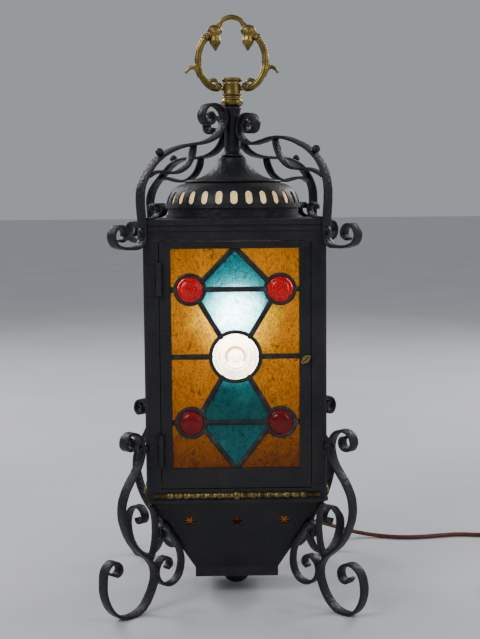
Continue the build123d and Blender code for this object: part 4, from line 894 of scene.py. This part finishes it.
ring = Pile()
ring.tube(ring_line, ring_radius, 22, 0.95)
for side in (1, -1):
    knuckle = (side * KNUCKLE[0], 0, KNUCKLE[1])
    add_branch(THORN, side, 0.7, lambda s: 3.6 - 1.9 * s, 16, 0.86)
    ring.ball((side * THORN[-1][0], 0, THORN[-1][1]), 1.75, (1, 0.9, 1), 14)
    add_branch(THORN_ROOT, side, 0.7, lambda s: 2.7 - 0.7 * s, 14, 0.86)
    ring.lathe(BUD, knuckle, (side * -0.03, 0, -1), 28, lambda a, h: 1 + 0.04 * math.cos(8 * a))
    ring.ball(knuckle, 6.6, (1.24, 0.94, 0.94), 28)
    add_branch(RING_COLLAR, side, 0.6, lambda s: 4.0 + 0.9 * math.sin(math.pi * s), 18, 0.95)
    add_branch(RING_CURL, side, 0.7, lambda s: 2.4 - 0.4 * s, 14, 0.9)
    ring.lathe([(PIN_R, 0), (PIN_R, PIN_LONG)], (side * 3.5, 0, PIVOT_Z), (side, 0, 0), 24)
    ring.ball((side * 13.9, 0, 534.8), 4.3, (0.85, 1, 1), 24)
ring.stand_in("ring_look", BRASS, "handle_ring", "handle")


def rounded(profile, times):
    """A turned profile with its corners eased."""
    for _ in range(times):
        eased = [profile[0]]
        for (r0, z0), (r1, z1) in zip(profile, profile[1:]):
            eased += [(0.8 * r0 + 0.2 * r1, 0.8 * z0 + 0.2 * z1), (0.2 * r0 + 0.8 * r1, 0.2 * z0 + 0.8 * z1)]
        profile = eased + [profile[-1]]
    return profile


def turned(name, look, replaced, profile, steps, times=2, wave=None):
    """A piece turned on the lantern's axis."""
    pile = Pile()
    pile.lathe(rounded(profile, times), steps=steps, wave=wave)
    pile.stand_in(name, look, replaced)


def collar_wave(angle, height):
    """Faint gadroons round the collar's belly."""
    return 1 + (0.012 * math.cos(16 * angle) if 515 < height < 521.4 else 0)


HEAD = [
    (0.1, 525.0), (9.0, 525.0), (9.9, 526.0), (9.9, 527.8), (8.9, 528.8), (8.9, 536.4), (9.4, 537.4),
    (9.0, 538.6), (9.6, 539.6), (10.8, 540.8), (10.9, 542.4), (9.6, 543.4), (7.0, 543.6), (5.5, 542.9),
    (0.1, 542.7),
]
COLLAR = [
    (0.1, 514.0), (8.6, 514.0), (10.6, 515.0), (11.8, 517.4), (11.8, 519.6), (10.4, 521.4), (10.0, 522.0),
    (10.6, 522.8), (10.6, 524.2), (9.4, 525.0), (0.1, 525.0),
]
STEM = [
    (0.1, 461.0), (12.0, 461.0), (12.0, 463.4), (10.6, 465.0), (8.6, 467.0), (8.5, 480.0), (8.3, 496.0),
    (8.5, 508.0), (9.4, 511.0), (9.4, 514.0), (0.1, 514.0),
]
ROOF_CAP = [
    (44.6, 434.0), (51.0, 434.0), (51.0, 436.4), (47.0, 437.2), (41.0, 438.0), (33.0, 440.4), (26.6, 444.4),
    (21.4, 449.6), (17.6, 455.0), (16.2, 458.6), (15.6, 461.0), (0.1, 461.0), (0.1, 457.0), (12.4, 457.0),
    (18.8, 450.0), (24.6, 443.4), (32.0, 438.8), (44.6, 434.0),
]
ROOF_LINING = [
    (64.6, 406.0), (64.4, 412.0), (62.4, 419.0), (59.0, 425.0), (55.0, 428.6), (54.4, 428.2), (58.4, 424.6),
    (61.8, 418.8), (63.8, 412.0), (64.0, 406.0),
]
BOTTOM_KNOB = [
    (0.1, 28.0), (7.9, 28.0), (7.9, 24.6), (6.5, 23.2), (10.8, 20.6), (13.4, 17.0), (14.3, 12.8),
    (13.2, 8.2), (10.2, 4.6), (6.6, 2.5), (3.0, 1.5), (0.1, 1.5),
]
turned("head_look", BRASS, "handle_head", HEAD, 64)
turned("collar_look", BRASS, "neck_collar", COLLAR, 64, wave=collar_wave)
turned("stem_look", IRON, "stem", STEM, 48)
turned("cap_look", IRON, "roof_cap", ROOF_CAP, 96, 1)
# A lining inside the roof that replaces no CAD node and glows with painted lamp light.
lining = Pile()
lining.lathe(ROOF_LINING, steps=96, wave=lambda angle, height: 1 + 0.002 * math.sin(17 * angle))
lining.piece("roof_lining_look", PAINTED_GLOW_LINING)
turned("bottom_knob_look", IRON, "bottom_knob", BOTTOM_KNOB, 56)


# ---------------------------------------------------------------- panels: leading, jewels and roundels

GLASS_MID, GLASS_HALF = 85.4, 1.5
OPENING_HALF, OPENING_LOW, OPENING_TOP = 64.25, 146.5, 368.4
JEWEL_X, JEWEL_LOW, JEWEL_HIGH, JEWEL_RING = 45.0, 193.1, 327.3, 14.5
ROUNDEL_Z, ROUNDEL_RING = 259.8, 24.9
CAME_WIDE, RING_WIDE, CAME_TALL = 5.4, 4.0, 1.7
EDGE_OVER, EDGE_WIDE = 1.4, 3.6
SOLDER_R = 2.7
EDGE = OPENING_HALF + 1.2
TRAY_HALF_TOP, TRAY_HALF_LOW, TRAY_TOP, TRAY_LOW = 88.0, 43.5, 112.0, 31.0
ROSETTE_X, ROSETTE_Z, BUTTON_DEEP = 48.5, 89.0, 2.1
CAMES = [
    ((0, OPENING_TOP + 1.0), (32.9, 335.4)),
    ((0, JEWEL_HIGH), (JEWEL_X - JEWEL_RING, JEWEL_HIGH)),
    ((36.5, 316.2), (14.6, 279.8)),
    ((13.4, 239.0), (34.6, 203.2)),
    ((0, JEWEL_LOW), (JEWEL_X - JEWEL_RING, JEWEL_LOW)),
    ((31.8, 186.0), (0, OPENING_LOW - 1.0)),
    ((ROUNDEL_RING, ROUNDEL_Z), (EDGE, ROUNDEL_Z)),
    ((JEWEL_X + JEWEL_RING, JEWEL_LOW), (EDGE, JEWEL_LOW)),
    ((JEWEL_X + JEWEL_RING, JEWEL_HIGH), (EDGE, JEWEL_HIGH)),
]


def panel_spot(turn, x, z, out):
    """A place on a side of the body: across, up, and out from the axis."""
    cos, sin = math.cos(math.radians(turn)), math.sin(math.radians(turn))
    return Vector((x * cos + out * sin, x * sin - out * cos, z))


def add_came(pile, turn, path, wide, face, closed=False):
    """A low strip of lead along a path of (x, z) points on the glass's front (1) or back (-1) face."""
    count = len(path)
    rows = []
    for k, (x, z) in enumerate(path):
        before = path[k - 1] if k or closed else path[0]
        after = path[(k + 1) % count] if k < count - 1 or closed else path[-1]
        run = (Vector(after) - Vector(before)).normalized()
        cross = Vector((-run.y, run.x))
        wobble = 1 + 0.07 * noise.noise(Vector((x * 0.11, z * 0.11, turn)))
        row = []
        for step in range(9):
            angle = math.pi * step / 8
            reach = wide / 2 * wobble * math.cos(angle)
            lift = GLASS_HALF + CAME_TALL * (0.25 + 0.75 * math.sin(angle)) * (0 < step < 8)
            row.append(panel_spot(turn, x + cross.x * reach, z + cross.y * reach, GLASS_MID + face * lift))
        rows.append(row)
    if closed:
        rows.append(rows[0])
    pile.grid(rows, caps=not closed)


def circle(x, z, radius, steps=64):
    """Points round a circle, as a path for a came."""
    return [
        (x + radius * math.cos(2 * math.pi * k / steps), z + radius * math.sin(2 * math.pi * k / steps))
        for k in range(steps)
    ]


def straight(start, end, fine=3.0):
    """Points along a straight path for a came, about every fine millimetres."""
    count = max(1, round((Vector(end) - Vector(start)).length / fine))
    return [tuple(Vector(start).lerp(Vector(end), k / count)) for k in range(count + 1)]


def solder_joint(pile, turn, x, z, face):
    """A soft blob of solder where two cames meet."""
    centre = panel_spot(turn, x, z, GLASS_MID + face * (GLASS_HALF + 0.9))
    upright = Matrix.Rotation(math.radians(turn), 3, "Z") @ Matrix.Rotation(math.pi / 2, 3, "X")
    pile.ball(centre, SOLDER_R, (1, 1, 0.36), 14, upright)


def panel_leading(turns, name, body, replaced):
    """The leading of these sides, on both faces of the glass."""
    pile = Pile()
    for turn in turns:
        for face in (1, -1):
            for start, end in CAMES:
                for side in (1, -1):
                    if start[0] == end[0] == 0 and side < 0:
                        continue
                    a, b = (start[0] * side, start[1]), (end[0] * side, end[1])
                    add_came(pile, turn, straight(a, b), CAME_WIDE, face)
                    for x, z in (a, b):
                        if 1 < abs(x) < OPENING_HALF - 2:
                            solder_joint(pile, turn, x, z, face)
            for side in (1, -1):
                for z in (JEWEL_LOW, JEWEL_HIGH):
                    add_came(pile, turn, circle(side * JEWEL_X, z, JEWEL_RING), RING_WIDE, face, True)
            add_came(pile, turn, circle(0, ROUNDEL_Z, ROUNDEL_RING, 96), RING_WIDE, face, True)
            low, top = OPENING_LOW - EDGE_OVER, OPENING_TOP + EDGE_OVER
            wide = OPENING_HALF + EDGE_OVER
            for a, b in (
                ((-wide, low), (wide, low)),
                ((wide, low), (wide, top)),
                ((wide, top), (-wide, top)),
                ((-wide, top), (-wide, low)),
            ):
                add_came(pile, turn, straight(a, b, 6), EDGE_WIDE, face)
    pile.stand_in(name, LEAD, replaced, body)


def panel_jewels(turns, name, body, replaced):
    """Moulded ruby jewels: a domed face, a stepped rim and a shallow dished back."""
    pile = Pile()
    profile = [
        (0.05, -1.2), (6, -1.25), (10.5, -1.5), (13.4, -1.5), (13.6, -0.8), (13.6, 1.2), (12.6, 1.5),
        (12.3, 2.6), (11.7, 3.2), (10.4, 3.5), (9.6, 3.35), (9.0, 3.5), (7.8, 4.3), (5.6, 4.9),
        (2.8, 5.2), (0.05, 5.3),
    ]
    for turn in turns:
        for side in (1, -1):
            for z in (JEWEL_LOW, JEWEL_HIGH):
                pile.lathe(
                    [(r, h - 0.45) for r, h in rounded(profile, 1)],
                    panel_spot(turn, side * JEWEL_X, z, GLASS_MID),
                    panel_spot(turn, 0, 0, 1),
                    56,
                )
    pile.stand_in(name, RUBY, replaced, body)


# Where the painted shaded arc lies on the knob's rim: lowest height from the roundel's middle, then inner and
# outer reach (mm).
KNOB_EDGE_LOW = -5.0
KNOB_EDGE_IN, KNOB_EDGE_OUT = 7.6, 10.9


def panel_roundels(turns, name, body, replaced):
    """Spun clear roundels: faint rings, a rolled edge and a raised knob in the middle, with a painted shaded
    arc on the knob's rim.
    """
    front = [(23.8, -1.4), (24.0, -0.4), (24.0, 0.8), (23.2, 1.5)]
    front += [(r, 1.35 + 0.22 * math.cos(r * 1.45)) for r in (22, 20.5, 19, 17.5, 16, 14.5, 13, 11.8)]
    front += [(10.6, 1.5), (9.6, 2.4), (8.2, 3.1), (6.4, 3.4), (4.0, 3.2), (2.0, 3.0), (0.05, 2.95)]
    profile = [(0.05, -0.6), (4, -0.9), (9, -1.4)] + front
    pile = Pile()
    for turn in turns:
        pile.lathe(
            rounded(profile, 1), panel_spot(turn, 0, ROUNDEL_Z, GLASS_MID), panel_spot(turn, 0, 0, 1), 96
        )
    made = pile.stand_in(name, CLEAR, replaced, body)
    # The knob's outer rim above KNOB_EDGE_LOW takes the dimmer tan glass: a painted shaded arc.
    made.data.materials.append(KNOB_SHADE_ARC)
    for face in made.data.polygons:
        middle = face.center / MM
        reach = math.hypot(min(abs(middle.x), abs(middle.y)), middle.z - ROUNDEL_Z)
        above = middle.z - ROUNDEL_Z > KNOB_EDGE_LOW
        outer = max(abs(middle.x), abs(middle.y)) > GLASS_MID + 1.0
        if above and outer and KNOB_EDGE_IN < reach < KNOB_EDGE_OUT:
            face.material_index = 1


BUTTON = [(0.05, 0), (6.3, 0), (6.7, 0.4), (6.5, 1.1), (5.0, 1.7), (2.6, 2.1), (0.05, 2.2)]


def rosette_panes(name, glass, spots):
    """Small glass buttons held behind the pierced rosettes of the base tray, glowing with painted lamp light.
    """
    pile = Pile()
    slope = (TRAY_HALF_TOP - TRAY_HALF_LOW) / (TRAY_TOP - TRAY_LOW)
    half = TRAY_HALF_LOW + (ROSETTE_Z - TRAY_LOW) * slope
    for turn in SIDES.values():
        inward = panel_spot(turn, 0, slope, -1).normalized()
        for x in spots:
            origin = panel_spot(turn, x, ROSETTE_Z, half) + inward * BUTTON_DEEP
            pile.lathe(BUTTON, origin, inward, 28)
    pile.piece(name, glass)


FIXED = [turn for name, turn in SIDES.items() if name != "front"]
panel_leading([0], "door_leading", "door", "door_cames")
panel_leading(FIXED, "fixed_leading", "lantern", "fixed_cames")
panel_jewels([0], "door_jewels_look", "door", "door_jewels")
panel_jewels(FIXED, "fixed_jewels_look", "lantern", "fixed_jewels")
panel_roundels([0], "door_roundel_look", "door", "door_roundel")
panel_roundels(FIXED, "fixed_roundels_look", "lantern", "fixed_roundel")
rosette_panes("rosette_amber_look", ROSETTE_AMBER, (-ROSETTE_X, ROSETTE_X))
rosette_panes("rosette_ruby_look", RUBY, (0,))


# ---------------------------------------------------------------- door stops

STOP_X, STOP_Y = 80.6, -78.8
STOP_LOW, STOP_TOP, STOP_STEP = 128, 376, 13
STOP_SECTION = [
    (-6.0, -0.45), (6.0, -0.45), (6.4, 0), (6.0, 0.5), (5.2, 0.7), (4.4, 0.45), (-6.0, 0.4), (-6.4, 0),
]
stops = Pile()
for side in (-1, 1):
    rows = []
    for z in range(STOP_LOW, STOP_TOP, STOP_STEP):
        sway = 0.25 * noise.noise(Vector((side, 0, z * 0.04)))
        rows.append(
            [Vector((side * (STOP_X - across) + sway, STOP_Y + deep, z)) for across, deep in STOP_SECTION]
        )
    stops.grid(rows)
stops.piece("door_stop_look", IRON)


# ---------------------------------------------------------------- beaded band

BEAD_Z, BEAD_FACE, BEAD_HALF, BEAD_PITCH = 119.5, 92.6, 84.0, 17.0
WIRE_R, BEAD_R, MIDDLE_BEAD_R = 2.5, 3.9, 4.9
SPOOL = [(2.4, -3.0), (3.2, -2.2), (2.6, -1.2), (3.5, 0), (2.6, 1.2), (3.2, 2.2), (2.4, 3.0)]
band = Pile()
for turn in SIDES.values():
    along = panel_spot(turn, 1, 0, 0)
    band.lathe(
        [(WIRE_R, -BEAD_HALF), (WIRE_R, BEAD_HALF)], panel_spot(turn, 0, BEAD_Z, BEAD_FACE - 1.2), along, 20
    )
    for k in range(-4, 5):
        middle = panel_spot(turn, k * BEAD_PITCH, BEAD_Z, BEAD_FACE - 1.4)
        band.ball(middle, BEAD_R if k else MIDDLE_BEAD_R, steps=22)
        if k < 4:
            between = panel_spot(turn, (k + 0.5) * BEAD_PITCH, BEAD_Z, BEAD_FACE - 1.3)
            band.lathe(SPOOL, between, along, 20)
band.stand_in("bead_band_look", BAND_BRASS, "bead_bands")


# ---------------------------------------------------------------- lamp

angles = [math.radians(a) for a in range(-32, 90, 4)]
globe = [(BULB_R * math.cos(angle), BULB_Z + BULB_R * math.sin(angle)) for angle in angles]
bulb = Pile()
bulb.lathe(
    [(0.1, CAP_HIGH), (12.8, CAP_HIGH), (13.0, 242.0), (14.0, 249.0), (16.6, 257.0), (20.8, 266.0)]
    + globe
    + [(0.1, BULB_Z + BULB_R)],
    steps=64,
)
bulb.stand_in("bulb_look", LAMP, "bulb_glass")


# ---------------------------------------------------------------- finishes on the remaining CAD pieces

LOOKS = {
    "wrought_iron": IRON,
    "aged_brass": BRASS,
    "lead": LEAD,
    "amber_glass": AMBER,
    "teal_glass": TEAL,
    "ruby_glass": RUBY,
    "clear_glass": CLEAR,
    "zinced_steel": STEEL,
    "nickelled_cap": NICKEL,
    "bulb_glass": LAMP,
    "bakelite": BROWN_PLASTIC,
    "cord_sheath": SHEATH_LOOK,
}
for part in frame["record"]["subparts"]:
    made = frame["nodes"][part["node"]]
    made.data.materials.clear()
    made.data.materials.append(LOOKS[part["material_slot"]])
cord.data.materials.append(SHEATH_LOOK)


# ---------------------------------------------------------------- studio

FLOOR_HALF = 30.0


def floor_material():
    made, tree = new_material("pale_floor")
    where = place(tree)
    colour = ramp(tree, cloud(tree, where, 3, 4, 0.5), [(0.3, (0.60, 0.60, 0.61)), (0.7, (0.66, 0.66, 0.67))])
    height = bump(tree, cloud(tree, where, 500, 3, 0.5), 0.1, 0.0002)
    paint(tree, Base_Color=colour, Normal=height, Roughness=0.55)
    return made


floor_mesh = bpy.data.meshes.new("floor")
corners = [(x, y, 0) for x, y in ((-1, -1), (1, -1), (1, 1), (-1, 1))]
floor_mesh.from_pydata([Vector(c) * FLOOR_HALF for c in corners], [], [(0, 1, 2, 3)])
floor_mesh.materials.append(floor_material())
floor = bpy.data.objects.new("floor", floor_mesh)
bpy.context.scene.collection.objects.link(floor)


def area_light(name, place_at, aim, size, power):
    """A soft square light that looks at a point."""
    data = bpy.data.lights.new(name, "AREA")
    data.size = size
    data.energy = power
    light = bpy.data.objects.new(name, data)
    light.location = place_at
    light.rotation_euler = (Vector(aim) - Vector(place_at)).to_track_quat("-Z", "Y").to_euler()
    bpy.context.scene.collection.objects.link(light)


AIM = (0, 0, 0.3)
area_light("key", (-1.6, -1.7, 1.9), AIM, 1.2, 34)
area_light("fill", (1.9, -1.2, 1.2), AIM, 1.4, 15)
area_light("rim_left", (-1.4, 1.5, 1.5), AIM, 0.9, 26)
area_light("rim_right", (1.5, 1.6, 1.3), AIM, 0.9, 24)

SKY, SKY_POWER = (0.80, 0.84, 0.90, 1), 0.42
world = bpy.data.worlds.new("studio")
world.use_nodes = True
background = world.node_tree.nodes["Background"]
background.inputs["Color"].default_value = SKY
background.inputs["Strength"].default_value = SKY_POWER
bpy.context.scene.world = world
